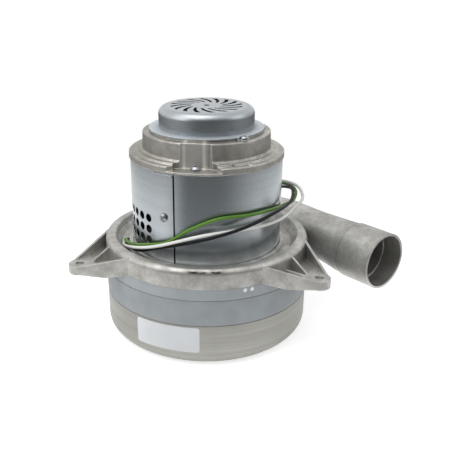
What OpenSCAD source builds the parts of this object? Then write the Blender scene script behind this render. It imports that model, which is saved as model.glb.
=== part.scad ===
// Three-stage vacuum motor with a cast tangential discharge horn, standing on its inlet end.
// Origin: centre of the base, on the motor's axis. +Z is up, +X is to the right.

/* [Fan case] */
// Outer diameter of the sheet-metal fan case
case_d = 183; // [178:1:188]
// Height of the inlet stage
stage1_h = 39; // [37:0.5:43]
// Height of the second stage
stage2_h = 23; // [21.5:0.5:27]
// Height of the third stage below the casting
stage3_h = 10; // [9:0.5:12]
// Sheet thickness of the case
sheet_t = 1.2; // [0.9:0.1:1.5]
// Radius of the inlet shell's lower corner
case_corner_r = 14; // [8:1:16]
// Diameter of the inlet eye in each stage
eye_d = 56; // [50:1:60]
// Height of the upturned lip round each eye
eye_lip_h = 5.5; // [5.2:0.1:6]

/* [Impellers] */
// Diameter of the three impellers
fan_d = 144; // [136:1:150]
// Height of the first impeller
fan1_h = 20; // [17:0.5:21]
// Height of the second and third impellers
fan_h = 8.5; // [7.5:0.1:8.8]
// Blades on each impeller
fan_blades = 7; // [5:1:9]
// Thickness of an impeller blade
blade_t = 1; // [0.8:0.1:1.4]
// Vanes on each stationary plate
vane_count = 12; // [8:1:14]
// Diameter of the stationary plates
vane_plate_d = 168; // [160:1:171]

/* [Discharge housing] */
// Height of the cast ring above the fan case
ring_h = 17; // [16:0.5:19]
// Depth of the open channel inside the rim
channel_depth = 9; // [8:0.5:9.5]
// Width of the rim
rim_w = 9.7; // [9:0.1:10.5]
// Wall of the casting
cast_t = 3; // [2.6:0.1:3.2]
// Radius along the rim's outer edge
rim_r = 4.8; // [3:0.1:6]
// Azimuth of the point where the horn leaves the ring
horn_az = 38.7; // [36:0.1:41]
// Distance from the motor's axis to the horn's axis
horn_offset = 103; // [102:0.5:105]
// Length of the horn from that point to its mouth
horn_len = 122; // [116:0.2:126]
// Height of the horn's axis above the base
horn_z = 70; // [69:0.5:71]
// Outer diameter of the horn's sleeve
horn_od = 50.8; // [50.2:0.1:52]
// Wall of the horn at its mouth
horn_wall = 2; // [1.6:0.1:2.2]
// Length of the horn's sleeve
sleeve_len = 34; // [28:0.2:36]
// Depth of the counterbore in the horn's mouth
mouth_depth = 19; // [14:0.5:20]
// Azimuth of the first of the three mounting ears
ear_az = 81.9; // [80:0.1:83]
// Bolt circle of the three mounting ears
ear_pcd = 235; // [232:1:240]
// Diameter of each ear's hole
ear_hole_d = 7.5; // [6:0.1:8.5]
// Radius of each ear's tip
ear_tip_r = 9.5; // [8.5:0.1:10.5]

/* [Motor body] */
// Outer diameter of the motor's shroud
shroud_d = 132.8; // [132:0.2:133.4]
// Height of the shroud
shroud_h = 79; // [77:0.5:82]
// Sheet thickness of the shroud
shroud_t = 1; // [0.8:0.1:1.1]
// Diameter of the shroud's vent holes
vent_d = 7.2; // [6:0.1:7.8]
// Pitch of the vent holes, round and up the shroud
vent_pitch = 9.75; // [9:0.05:10.2]
// Columns of vent holes
vent_cols = 8; // [4:1:10]
// Rows of vent holes
vent_rows = 3; // [2:1:4]
// Height of the lowest row of vents above the channel's floor
vent_row_z = 17; // [15:0.5:19]
// Height of the end bracket's flange
flange_h = 5.8; // [5:0.1:6.4]
// Height of the end bracket above the shroud
bracket_h = 22.5; // [22:0.1:24]
// Outer diameter of the bracket's neck
neck_d = 111.4; // [110.4:0.2:112.4]
// Wall of the bracket's neck
neck_t = 3.5; // [3:0.1:3.8]

/* [Fan cover] */
// Diameter of the fan cover
cover_d = 82.4; // [81:0.2:84]
// Height of the fan cover
cover_h = 18.7; // [18.4:0.1:20]
// Sheet thickness of the fan cover
cover_t = 1.1; // [0.9:0.1:1.3]
// Radius round the fan cover's top
cover_corner_r = 6.5; // [4:0.1:7.5]
// Outer diameter of the fan cover's flange
cover_flange_d = 99; // [98:0.2:100]
// Number of slots in the fan cover's top
slot_count = 16; // [12:1:18]
// Radius at which the slots start
slot_r_in = 13.5; // [12:0.1:15]
// Radius at which the slots end
slot_r_out = 31; // [28:0.1:33]
// Angle that a slot sweeps on its way out
slot_sweep = 27; // [15:1:35]

/* [Armature and field] */
// Diameter of the shaft through the impellers and the armature
shaft_d = 10; // [9.4:0.1:10.6]
// Diameter of the shaft's upper end
shaft_top_d = 8; // [7:0.1:8.4]
// Outer diameter of the lower ball bearing
bearing_od = 30; // [29:0.5:32]
// Width of the lower ball bearing
bearing_w = 9; // [8:0.5:9.5]
// Outer diameter of the upper ball bearing
top_bearing_od = 22; // [21:0.5:23]
// Width of the upper ball bearing
top_bearing_w = 7; // [6.5:0.1:7.2]
// Diameter of the armature
armature_d = 48; // [46:0.5:49]
// Slots in the armature
armature_slots = 16; // [12:1:20]
// Height of the field core
core_h = 38; // [36:0.5:40]
// Width of the field core across its poles
core_w = 100; // [96:1:104]
// Air gap between the armature and the field
air_gap = 0.7; // [0.5:0.1:0.9]
// Diameter of the commutator
commutator_d = 28; // [26:0.5:29]
// Width of a carbon brush, round the commutator
brush_w = 8; // [7:0.1:8.6]
// Height of a carbon brush, along the shaft
brush_h = 6; // [5:0.1:6.4]
// Length of a carbon brush
brush_len = 20; // [17:0.5:21]

/* [Fits] */
// Radial clearance of a shaft or a pin in its bore
fit = 0.05; // [0.03:0.01:0.08]
// Gap left between the nested sheet-metal parts
seat_gap = 0.2; // [0.1:0.05:0.3]

/* [Hidden] */
$fn = 96;
far = 400;
eps = 0.5;

case_r = case_d / 2;
eye_r = eye_d / 2;
fan_r = fan_d / 2;

// Levels up the fan case
seam_h = 0.5;
seam_in = 0.5;
spigot_h = 4;
stake_r = 1;
z_seam1 = stage1_h;
z_seam2 = z_seam1 + stage2_h;
z_cast = z_seam2 + stage3_h;
floors = [0, z_seam1 + seam_h, z_seam2 + seam_h];

// Impellers: each starts this far above the underside of its stage's floor
fan_rise = 3.3 + sheet_t;
front_t = 1;
back_t = 1.5;
fan_eye_r = eye_r + sheet_t + 1;
fan_z0 = [for (f = floors) f + fan_rise];
fan_z1 = [fan_z0[0] + fan1_h, fan_z0[1] + fan_h, fan_z0[2] + fan_h];
blade_r_in = fan_eye_r + 0.8;
blade_arc_r = 52;
blade_arc_c = 58;
washer_t = 1.2;
washer_r = 13;
fan_nut_h = 6;
z_fan_nut = fan_z1[0] - back_t - washer_t - fan_nut_h;

// Stationary plates with return vanes
plate_t = 1;
plate_gap = 1.5;
plate_hole_r = 12;
vane_r_in = 33;
vane_arc_r = 60;
vane_arc_c = 62;

// Casting
ring_r = case_r - 0.2;
z_rim = z_cast + ring_h;
z_floor = z_rim - channel_depth;
z_roof = z_floor - cast_t;
rim_in_r = ring_r - rim_w;
rim_in_round = 1.7;
channel_r = rim_in_r - 5.1;
cav_r = case_r - sheet_t - seat_gap - 2.5;
cav_top = z_rim - cast_t;
cav_in_r = rim_in_r - 2.1;
cav_round = 3;
lap_h = 4;
case_clear = 0.4;

// Volute: a circle set off the motor's axis, towards the point where the horn leaves
volute_out = horn_offset + 21;
volute_r = 70;
volute_c = volute_out - volute_r;
volute_drop = 0.3;
volute_wall = 1;

// Horn stations along its axis, from the point where it leaves the ring
root_half_w = 20;
root_round = 6;
mid_a = 45;
mid_r = 21.4;
mid_z = horn_z + 2;
web_r = 6;
tube_r = horn_od / 2 - 1.2;
tube_a = 79;
tube_step = 0.15;
tube_lap = 0.3;
sleeve_a = horn_len - sleeve_len;
bore_r = horn_od / 2 - horn_wall;
deep_bore_r = bore_r - 0.8;
neck_bore_r = tube_r - 2;
mid_wall = 2.8;
slab = 0.5;

// Ears
ear_z0 = z_cast - 5;
ear_pad_h = 7.4;
ear_pad_x = ear_pcd / 2 - 12.5;
ear_pad_z1 = ear_z0 + ear_pad_h;
ear_floor_t = 2.2;
ear_floor_z = z_cast - 1.4;
ear_lift = 0.2;
ear_inset = 0.15;
ear_rib_z0 = ear_floor_z + ear_lift;
ear_keel = 0.45;
ear_half_angle = 22.5;
ear_wall_t = 2.2;
ear_rib_t = 2;
ear_top = z_rim - 1.2;
ear_tip_top = ear_pad_z1 - 0.7;
ear_low_rib_y = [-9, -4];
ear_low_rib_rise = 3;

// Hub and lower bearing
hub_r = 20.5;
z_bearing = z_floor + 2;
z_hub = z_bearing + bearing_w;
shaft_r = shaft_d / 2;
shaft_top_r = shaft_top_d / 2;
seal_in_r = shaft_r + 3.3;
spacer_r = shaft_r + 3;
seal_out_r = shaft_r + 6;
retainer_t = 1.2;
retainer_in_r = 11;
retainer_screw_r = 1.5;
retainer_head_r = 2.4;
retainer_head_h = 1.6;
retainer_screw_bite = 5;
retainer_hole_depth = 7;
retainer_bolt_r = bearing_od / 2 + 2.9;

// Locating ring for the shroud
shroud_r = shroud_d / 2;
locate_in = shroud_r + 0.5;
locate_out = locate_in + 3.1;
locate_h = 2;

// Bracket
z_brk = z_floor + shroud_h;
z_flange = z_brk + flange_h;
z_ledge = z_flange + 1.4;
z_neck = z_brk + bracket_h;
z_seat = z_neck + 1.7;
flange_r = shroud_r + 1;
ledge_r = flange_r - 5.9;
neck_r = neck_d / 2;
neck_in_r = neck_r - neck_t;
top_plate_t = 3;
spigot_r = shroud_r - shroud_t - seat_gap;
spigot_t = 3.7;
seat_r = cover_flange_d / 2 - 1;
seat_in_r = cover_d / 2 + 1.4;
bolt_az = -99;
bolt_r = 57;
bolt_shank_r = 2.4;
bolt_head_r = 4.2;
bolt_head_h = 3.2;
bolt_end_rise = 6;
boss_r = 6;
z_notch = z_brk + 2;
notch_half_w = 18;
recess_half_w = 11.5;
recess_r = neck_in_r + 0.4;
nub_az = [-71, -43];
nub_at_r = [flange_r - 4, ledge_r - 1.9];
nub_r = 1.6;
nub_h = 3;
pad_az = -56.8;
pad_at_r = flange_r - 3.2;
pad_r = 2;
pad_h = 1;
cover_hole_depth = 9;
arm_w = 9;
hub_top_r = top_bearing_od / 2 + 4;
z_top_bearing = z_neck - 6.5;

// Fan cover
cover_r = cover_d / 2;
cover_z1 = z_seat + cover_h;
cover_screw_az = -54;
cover_screw_r = cover_flange_d / 2 + 2;
cover_ear_r = 3.9;
cover_ear_w = 11;
cover_head_r = 3.3;
cover_head_h = 2.5;
cover_screw_len = 6;
cover_hole_r = 2.5;
slot_w_in = 2.2;
slot_w_out = 4.8;
slot_steps = 6;

// Field and armature
pillar_h = 26;
z_core = z_floor + pillar_h;
arm_z0 = z_core + 1;
arm_z1 = z_core + core_h - 1;
arm_r = armature_d / 2;
field_bore_r = arm_r + air_gap;
core_lobe_w = 26;
core_lobe_r = bolt_r + 5;
window_half_angle = 32;
window_r = 37;
coil_in_r = field_bore_r + 2.8;
coil_out_r = window_r - 1;
coil_rise = 8.5;
coil_half_angle = 68;
pole_half_angle = 59;
winding_h = 9;
winding_in_r = shaft_r + 2.5;
winding_out_r = arm_r - 3;
slot_depth = 9;
arm_slot_w = 2.2;

// Commutator and brushes
com_r = commutator_d / 2;
z_com = arm_z1 + winding_h + 1.5;
com_h = 17;
riser_h = 3;
com_bars = 24;
z_brush = z_com + riser_h + 7;
brush_gap = 0.15;
brush_in = com_r + brush_gap;
brush_out = brush_in + brush_len;
brush_play = 0.1;
guide_t = 0.8;
guide_in = com_r + 3;
spring_len = 8.6;
guide_out = brush_out + spring_len + 0.3;
spring_wire = 0.6;
spring_r = 2.2;
spring_turns = 4;
spring_rings = 8;
spring_sides = 6;
holder_wall = 2.4;
holder_in = com_r + 8;
holder_end_t = 1.8;
shelf_t = 3.5;
shelf_half_w = 16;
shelf_in = holder_in + 12;
foot_half_w = 13.5;
foot_t = 2.2;
foot_len = 8;
foot_screw_y = 10.6;
foot_screw_x = shelf_in + 5;
guide_w = brush_w + 2 * brush_play;
guide_h = brush_h + 2 * brush_play;
z_shelf = z_brush - brush_h / 2 - brush_play - guide_t - holder_wall;

// Cooling fan
cool_r = 36;
cool_hub_r = 8;
cool_disc_t = 1.2;
cool_blades = 9;
cool_blade_t = 1.2;
cool_blade_drop = 3;
cool_hub_clear = 4;
cool_arc_r = 30;
cool_arc_c = 34;
nut_h = 2.2;
z_shaft_top = cover_z1 - cover_t - 0.6;
z_cool = z_top_bearing + 0.6 + top_bearing_w;
z_cool_disc = z_cool + 4.4;
z_nut = z_shaft_top - nut_h;

// Wrap seam, vents, grommet and screws of the shroud
seam_az = -113.3;
lap_angle = 17;
lap_t = 0.9;
lap_corner_r = 4;
lap_trim = 0.25;
vent_az = -136.8;
shroud_screw_az = -121.2;
shroud_screw_rise = 41.4;
shroud_screw_z = z_floor + shroud_screw_rise;
grommet_az = 48;
grommet_z = z_floor + 33;
grommet_t = 2.5;
grommet_r = 7.5;
grommet_neck_r = 4.9;
screw_shank_r = 1.7;
screw_head_r = 3.4;

// Leads
lead_d = 2.7;
lead_sides = 8;
lead_steps = 2;

// A tube standing on the axis between two heights
module tube(r_out, r_in, z0, z1) {
    translate([0, 0, z0])
        difference() {
            cylinder(r = r_out, h = z1 - z0);
            translate([0, 0, -eps]) cylinder(r = r_in, h = z1 - z0 + 2 * eps);
        }
}

// A half profile with an upturned lip round the eye, its floor's underside at height zero
module eye_floor_2d(r_out) {
    translate([eye_r, 0]) square([r_out - eye_r, sheet_t]);
    translate([eye_r, 0]) square([sheet_t, eye_lip_h]);
}

// A curved strip between two radii, as used for blades and vanes
module vane_2d(r_in, r_out, arc_r, arc_c, t) {
    intersection() {
        difference() {
            circle(r_out);
            circle(r_in);
        }
        translate([arc_c, 0])
            difference() {
                circle(arc_r + t / 2);
                circle(arc_r - t / 2);
            }
        translate([-far, 0]) square([2 * far, far]);
    }
}

// A pan-head screw, its head's underside at height zero, with a cross recess
module pan_screw(head_r, head_h, shank_r, shank_len) {
    difference() {
        union() {
            cylinder(r = head_r, h = head_h * 0.55);
            translate([0, 0, head_h * 0.55]) cylinder(r1 = head_r, r2 = head_r * 0.62, h = head_h * 0.45);
            translate([0, 0, -shank_len]) cylinder(r = shank_r, h = shank_len + eps);
        }
        for (a = [0, 90])
            rotate([0, 0, a]) translate([-head_r * 0.55, -head_r * 0.11, head_h * 0.55])
                cube([head_r * 1.1, head_r * 0.22, head_h]);
    }
}

// Fan case

module inlet_shell() {
    color("#a0a098")
    rotate_extrude() {
        eye_floor_2d(case_r - case_corner_r);
        translate([case_r - sheet_t, case_corner_r]) square([sheet_t, z_seam1 - case_corner_r]);
        translate([case_r - case_corner_r, case_corner_r])
            intersection() {
                difference() {
                    circle(case_corner_r);
                    circle(case_corner_r - sheet_t);
                }
                translate([0, -case_corner_r]) square(case_corner_r);
            }
    }
}

// A shell that nests in the one below: floor with an eye, wall and a spigot
module stage_shell(z0, z1) {
    rotate_extrude()
        translate([0, z0]) {
            translate([0, seam_h]) eye_floor_2d(case_r);
            translate([case_r - sheet_t, seam_h]) square([sheet_t, z1 - z0 - seam_h]);
            translate([case_r - 2 * sheet_t - seat_gap, -spigot_h]) square([sheet_t, spigot_h + seam_h + sheet_t]);
            translate([case_r - 2 * sheet_t - seat_gap, 0])
                square([2 * sheet_t + seat_gap - seam_in, seam_h + sheet_t]);
        }
}

module second_stage_shell() {
    color("#939798") stage_shell(z_seam1, z_seam2);
}

// Two small stakes hold the upper shell's edge under the casting
module third_stage_shell() {
    color("#939798") {
        stage_shell(z_seam2, z_cast);
        for (a = [-70.6, -66.1])
            rotate([0, 0, a]) translate([case_r - 0.2, 0, z_cast - 2.5]) sphere(r = stake_r);
    }
}

module return_vanes(z0, z1) {
    difference() {
        union() {
            translate([0, 0, z0]) cylinder(r = vane_plate_d / 2, h = plate_t);
            for (i = [0 : vane_count - 1])
                rotate([0, 0, i * 360 / vane_count]) translate([0, 0, z0 + plate_t / 2])
                    linear_extrude(z1 - z0 - plate_t / 2)
                        vane_2d(vane_r_in, vane_plate_d / 2 - 1, vane_arc_r, vane_arc_c, plate_t);
        }
        translate([0, 0, z0 - eps]) cylinder(r = plate_hole_r, h = z1);
    }
}

module return_vanes_1() {
    color("#8f9395") return_vanes(fan_z1[0] + plate_gap, floors[1]);
}

module return_vanes_2() {
    color("#8f9395") return_vanes(fan_z1[1] + plate_gap, floors[2]);
}

// An impeller: a front ring, curved blades and a back plate
module impeller(k) {
    z0 = fan_z0[k];
    z1 = fan_z1[k];
    tube(fan_r, fan_eye_r, z0, z0 + front_t);
    tube(fan_r, shaft_r + fit, z1 - back_t, z1);
    for (i = [0 : fan_blades - 1])
        rotate([0, 0, i * 360 / fan_blades]) translate([0, 0, z0 + front_t / 2])
            linear_extrude(z1 - z0 - (front_t + back_t) / 2)
                vane_2d(blade_r_in, fan_r - 0.5, blade_arc_r, blade_arc_c, blade_t);
}

module fan_1() { color("#b9bcbd") impeller(0); }
module fan_2() { color("#b9bcbd") impeller(1); }
module fan_3() { color("#b9bcbd") impeller(2); }

// Tubes on the shaft that set the distances between the impellers and to the bearing
module fan_spacers() {
    color("#c9b37a") {
        tube(spacer_r, shaft_r + fit, fan_z1[0], fan_z1[1] - back_t - washer_t);
        tube(spacer_r, shaft_r + fit, fan_z1[1], fan_z1[2] - back_t - washer_t);
        tube(spacer_r, shaft_r + fit, fan_z1[2], z_bearing - 0.3);
    }
}

module fan_washers() {
    color("#8d9193")
    for (k = [0 : 2])
        tube(washer_r - (k > 0 ? 2 : 0), shaft_r + fit, fan_z1[k] - back_t - washer_t, fan_z1[k] - back_t);
}

module fan_nut() {
    color("#8d9193")
    difference() {
        translate([0, 0, z_fan_nut]) cylinder(r = 9.2, h = fan_nut_h, $fn = 6);
        translate([0, 0, z_fan_nut - eps]) cylinder(r = shaft_r + fit, h = fan_nut_h + 2 * eps);
    }
}

module shaft() {
    color("#a9adb0") {
        translate([0, 0, z_fan_nut - 2.5]) cylinder(r = shaft_r, h = z_top_bearing - z_fan_nut + 2.5);
        translate([0, 0, z_hub + 0.3]) cylinder(r = shaft_r + 2, h = 4);
        translate([0, 0, z_top_bearing - eps]) cylinder(r = shaft_top_r, h = z_shaft_top - z_top_bearing + eps);
    }
}

// Discharge housing: one casting with the ring, the volute, the horn, the ears and the motor's foot

// Half profile of the rim, filled: outer wall, rounded top and the slope down to the channel
module rim_2d() {
    translate([rim_in_r + rim_in_round, z_roof]) square([rim_w - rim_r - rim_in_round, z_rim - z_roof]);
    translate([ring_r - rim_r, z_rim - rim_r]) intersection() {
        circle(rim_r);
        square(rim_r);
    }
    translate([rim_in_r + rim_in_round, z_rim - rim_in_round]) intersection() {
        circle(rim_in_round);
        translate([-rim_in_round, 0]) square(rim_in_round);
    }
    translate([rim_in_r, z_cast]) square([rim_w, ring_h - max(rim_r, rim_in_round)]);
    polygon([[channel_r - 3, z_roof], [channel_r - 3, z_floor], [channel_r, z_floor],
        [rim_in_r, z_rim - rim_in_round], [rim_in_r + rim_in_round, z_rim - rim_in_round],
        [rim_in_r + rim_in_round, z_roof]]);
}

// The volute stands proud of the ring at the back, with the same rim edge
module volute_body() {
    rotate([0, 0, horn_az])
        difference() {
            translate([volute_c, 0, 0]) rotate_extrude(angle = 180) {
                translate([0, z_cast]) square([volute_r - rim_r, ring_h - volute_drop]);
                translate([0, z_cast]) square([volute_r, ring_h - volute_drop - rim_r]);
                translate([volute_r - rim_r, z_rim - volute_drop - rim_r]) intersection() {
                    circle(rim_r);
                    square(rim_r);
                }
            }
            translate([0, 0, z_cast - eps]) cylinder(r = ring_r - rim_r, h = ring_h + 2 * eps);
        }
}

module volute_cavity() {
    rotate([0, 0, horn_az])
        difference() {
            translate([volute_c, -slab, z_cast + cast_t]) intersection() {
                cylinder(r = volute_r - cast_t, h = ring_h - 2 * cast_t);
                translate([-far, 0, -eps]) cube([2 * far, far, ring_h]);
            }
            translate([0, 0, z_cast - eps]) cylinder(r = cav_in_r + volute_wall, h = ring_h + 2 * eps);
        }
}

// A thin disc across the horn's axis, at a distance along it
module horn_disc(a, off, z, r, t = slab) {
    translate([off, -a, z]) rotate([90, 0, 0]) cylinder(r = r, h = t, $fn = 32);
}

// The horn's root, as four corners of a rounded slab
module horn_root(a, half_w, z0, z1, r) {
    for (o = [-half_w + r, half_w - r])
        for (z = [z0 + r, z1 - r])
            horn_disc(a, horn_offset + 1 + o, z, r);
}

module horn_body() {
    rotate([0, 0, horn_az]) {
        hull() {
            horn_root(-slab, root_half_w, z_cast, z_rim - volute_drop, root_round);
            horn_disc(mid_a, horn_offset, mid_z, mid_r);
            horn_disc(mid_a, horn_offset - 17, z_rim - web_r - 0.5, web_r);
        }
        hull() {
            horn_disc(mid_a, horn_offset, mid_z, mid_r);
            horn_disc(mid_a, horn_offset - 17, z_rim - web_r - 0.5, web_r);
            horn_disc(tube_a, horn_offset, horn_z, tube_r - tube_step);
        }
        translate([horn_offset, tube_lap - tube_a, horn_z]) rotate([90, 0, 0])
            cylinder(r = tube_r, h = sleeve_a - tube_a + tube_lap + eps);
        translate([horn_offset, -sleeve_a, horn_z]) rotate([90, 0, 0])
            cylinder(r = horn_od / 2, h = sleeve_len);
    }
}

module horn_cavity() {
    rotate([0, 0, horn_az]) {
        hull() {
            horn_root(-2 * slab, root_half_w - cast_t, z_cast + cast_t, z_rim - cast_t, root_round - cast_t + 1);
            horn_disc(mid_a, horn_offset, mid_z, mid_r - mid_wall);
        }
        hull() {
            horn_disc(mid_a, horn_offset, mid_z, mid_r - mid_wall);
            horn_disc(tube_a, horn_offset, horn_z, neck_bore_r);
        }
        translate([horn_offset, tube_lap - tube_a, horn_z]) rotate([90, 0, 0])
            cylinder(r = deep_bore_r, h = horn_len - mouth_depth - tube_a + tube_lap + eps);
        translate([horn_offset, mouth_depth - horn_len, horn_z]) rotate([90, 0, 0])
            cylinder(r = bore_r, h = mouth_depth + eps);
    }
}

// Where a line from p touches a circle of radius r round c, on the side given by s
function touch(p, c, r, s) =
    let (v = p - c, th = atan2(v[1], v[0]) - s * acos(r / norm(v)))
    c + r * [cos(th), sin(th)];

// An upright wall between two plan points: its top slopes from h0 to h1, its foot rises towards p0
module sloping_wall(p0, p1, t, z0, h0, h1, lift = 0, keel = 0.5) {
    v = p1 - p0;
    translate([p0[0], p0[1], 0]) rotate([0, 0, atan2(v[1], v[0])]) rotate([90, 0, 0])
        translate([0, 0, -t / 2]) linear_extrude(t)
            polygon([[0, z0 + lift], [keel * norm(v), z0], [norm(v), z0], [norm(v), h1], [0, h0]]);
}

module ear() {
    c = [ear_pcd / 2, 0];
    root = [for (s = [1, -1]) (ring_r - 1.5) * [cos(ear_half_angle), s * sin(ear_half_angle)]];
    tip = [for (i = [0, 1]) touch(root[i], c, ear_tip_r - ear_wall_t / 2 - ear_inset, i == 0 ? 1 : -1)];
    part_way = (ear_pad_x - root[0][0]) / (tip[0][0] - root[0][0]);
    shoulder = [for (i = [0, 1]) root[i] + part_way * (tip[i] - root[i])];
    translate([0, 0, ear_floor_z]) linear_extrude(ear_floor_t)
        polygon([root[0], tip[0], tip[1], root[1], [ring_r - 4, 0]]);
    translate([c[0], 0, ear_z0]) cylinder(r = ear_tip_r, h = ear_pad_h);
    translate([0, 0, ear_z0 + 2 * ear_lift]) linear_extrude(ear_pad_h - 3 * ear_lift)
        polygon([shoulder[0], tip[0], tip[1], shoulder[1]]);
    for (i = [0, 1])
        sloping_wall(root[i], tip[i], ear_wall_t, ear_z0 + ear_lift, ear_top, ear_tip_top,
            z_cast - ear_z0, ear_keel);
    sloping_wall([ring_r - 2, 0], [ear_pad_x + 1, 0], ear_rib_t, ear_rib_z0, ear_top - 0.6, ear_pad_z1 + ear_lift);
    sloping_wall([ring_r - 2, ear_low_rib_y[0]], [ear_pad_x + 1, ear_low_rib_y[1]], ear_rib_t, ear_rib_z0,
        ear_pad_z1 + ear_low_rib_rise, ear_pad_z1 + ear_lift);
}

// A pillar that carries the field core, at each through bolt
module at_bolts() {
    for (a = [0, 180])
        rotate([0, 0, bolt_az + a]) translate([bolt_r, 0, 0]) children();
}

module discharge_housing() {
    color("#a3a29e")
    difference() {
        union() {
            difference() {
                union() {
                    volute_body();
                    horn_body();
                    for (i = [0 : 2]) rotate([0, 0, ear_az + i * 120]) ear();
                }
                translate([0, 0, -eps]) cylinder(r = case_r + case_clear, h = z_cast + eps);
                translate([0, 0, z_cast - 2 * eps]) cylinder(r = rim_in_r + 1, h = ring_h + far);
            }
            rotate_extrude() rim_2d();
            tube(ring_r, cav_r, z_cast, z_roof + eps);
            tube(case_r - sheet_t - seat_gap, cav_r, z_cast - lap_h, z_cast + eps);
            translate([0, 0, z_roof]) cylinder(r = channel_r, h = cast_t);
            translate([0, 0, z_roof]) cylinder(r = hub_r, h = z_hub - z_roof);
            tube(locate_out, locate_in, z_floor - eps, z_floor + locate_h);
            at_bolts() translate([0, 0, z_roof]) cylinder(r = boss_r, h = z_core - z_roof);
        }
        rotate_extrude() {
            translate([0, z_cast - far / 10]) square([cav_r, z_roof - z_cast + far / 10]);
            translate([cav_in_r, z_roof - 2 * eps]) square([cav_r - cav_in_r, cav_top - cav_round - z_roof + 2 * eps]);
            translate([cav_in_r + cav_round, z_roof]) square([cav_r - cav_in_r - 2 * cav_round, cav_top - z_roof]);
            for (x = [cav_in_r + cav_round, cav_r - cav_round])
                translate([x, cav_top - cav_round]) circle(cav_round);
        }
        volute_cavity();
        difference() {
            horn_cavity();
            translate([0, 0, -eps]) cylinder(r = case_r + case_clear + mid_wall, h = z_cast + cast_t);
            translate([0, 0, z_cast - 2 * eps]) cylinder(r = cav_in_r + 2 * volute_wall, h = far);
        }
        translate([0, 0, z_roof - eps]) cylinder(r = seal_out_r + fit, h = z_hub);
        translate([0, 0, z_bearing]) cylinder(r = bearing_od / 2 + fit, h = z_hub);
        for (a = [0, 120, 240])
            rotate([0, 0, a]) translate([retainer_bolt_r, 0, z_hub - retainer_hole_depth])
                cylinder(r = retainer_screw_r + fit, h = retainer_hole_depth + eps);
        at_bolts() translate([0, 0, z_floor + 4]) cylinder(r = bolt_shank_r + fit, h = pillar_h);
        for (i = [0 : 2])
            rotate([0, 0, ear_az + i * 120]) translate([ear_pcd / 2, 0, ear_z0 - eps])
                cylinder(r = ear_hole_d / 2, h = ear_pad_h + 2 * eps);
    }
}

module shaft_seal() {
    color("#3a3a3a") tube(seal_out_r, seal_in_r, z_roof, z_bearing - 0.5);
}

// A shielded ball bearing: two rings with recessed shields between them
module ball_bearing(r_in, r_out, z0, w) {
    third = (r_out - r_in) * 0.28;
    recess = 0.6;
    tube(r_in + third, r_in + fit, z0, z0 + w);
    tube(r_out, r_out - third, z0, z0 + w);
    tube(r_out - third + eps / 2, r_in + third - eps / 2, z0 + recess, z0 + w - recess);
}

module lower_bearing() {
    color("#b4b7b9") ball_bearing(shaft_r, bearing_od / 2, z_bearing, bearing_w);
}

module upper_bearing() {
    color("#b4b7b9") ball_bearing(shaft_top_r, top_bearing_od / 2, z_top_bearing + 0.3, top_bearing_w);
}

module bearing_retainer() {
    color("#8d9193")
    difference() {
        tube(hub_r, retainer_in_r, z_hub, z_hub + retainer_t);
        for (a = [0, 120, 240])
            rotate([0, 0, a]) translate([retainer_bolt_r, 0, z_hub - eps])
                cylinder(r = retainer_screw_r + 2 * fit, h = retainer_t + 2 * eps);
    }
}

module retainer_screws() {
    color("#8d9193")
    for (a = [0, 120, 240])
        rotate([0, 0, a]) translate([retainer_bolt_r, 0, z_hub + retainer_t])
            pan_screw(retainer_head_r, retainer_head_h, retainer_screw_r, retainer_t + retainer_screw_bite);
}

// Armature and field

module armature_core() {
    color("#6d6f70")
    translate([0, 0, arm_z0]) linear_extrude(arm_z1 - arm_z0)
        difference() {
            circle(arm_r);
            circle(shaft_r + fit);
            for (i = [0 : armature_slots - 1])
                rotate([0, 0, i * 360 / armature_slots]) translate([arm_r - slot_depth, -arm_slot_w / 2])
                    square([slot_depth + 1, arm_slot_w]);
        }
}

module winding_end(z0) {
    rotate_extrude() {
        round_r = 3;
        translate([winding_in_r + round_r, z0]) square([winding_out_r - winding_in_r - 2 * round_r, winding_h]);
        translate([winding_in_r, z0 + round_r]) square([winding_out_r - winding_in_r, winding_h - 2 * round_r]);
        for (x = [winding_in_r + round_r, winding_out_r - round_r])
            for (y = [z0 + round_r, z0 + winding_h - round_r])
                translate([x, y]) circle(round_r);
    }
}

// End turns above and below the core, joined by the bars that fill the slots
module armature_winding() {
    color("#b4672e") {
        winding_end(arm_z0 - winding_h);
        winding_end(arm_z1);
        for (i = [0 : armature_slots - 1])
            rotate([0, 0, i * 360 / armature_slots])
                translate([arm_r - slot_depth + 0.1, -arm_slot_w / 2 + 0.1, arm_z0 - 4])
                    cube([slot_depth - 3.4, arm_slot_w - 0.2, arm_z1 - arm_z0 + 8]);
    }
}

module commutator() {
    color("#c07a45")
    difference() {
        union() {
            translate([0, 0, z_com]) cylinder(r = com_r, h = com_h);
            translate([0, 0, z_com]) cylinder(r = com_r + 2, h = riser_h);
        }
        translate([0, 0, z_com - eps]) cylinder(r = shaft_r + fit, h = com_h + 2 * eps);
        for (i = [0 : com_bars - 1])
            rotate([0, 0, i * 360 / com_bars]) translate([com_r - 1, -0.25, z_com - eps])
                cube([4, 0.5, com_h + 2 * eps]);
    }
}

// A pie slice between two angles
module slice_2d(a0, a1, r) {
    polygon([[0, 0], for (i = [0 : 4]) r * [cos(a0 + (a1 - a0) * i / 4), sin(a0 + (a1 - a0) * i / 4)]]);
}

module field_core() {
    color("#77797a")
    rotate([0, 0, bolt_az + 90]) translate([0, 0, z_core]) linear_extrude(core_h)
        difference() {
            union() {
                circle(core_w / 2);
                square([core_lobe_w, 2 * core_lobe_r], center = true);
            }
            circle(field_bore_r);
            for (s = [90, -90])
                intersection() {
                    circle(window_r);
                    slice_2d(s - window_half_angle, s + window_half_angle, far);
                }
            for (s = [1, -1])
                translate([0, s * bolt_r]) circle(bolt_shank_r + 0.2);
        }
}

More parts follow.
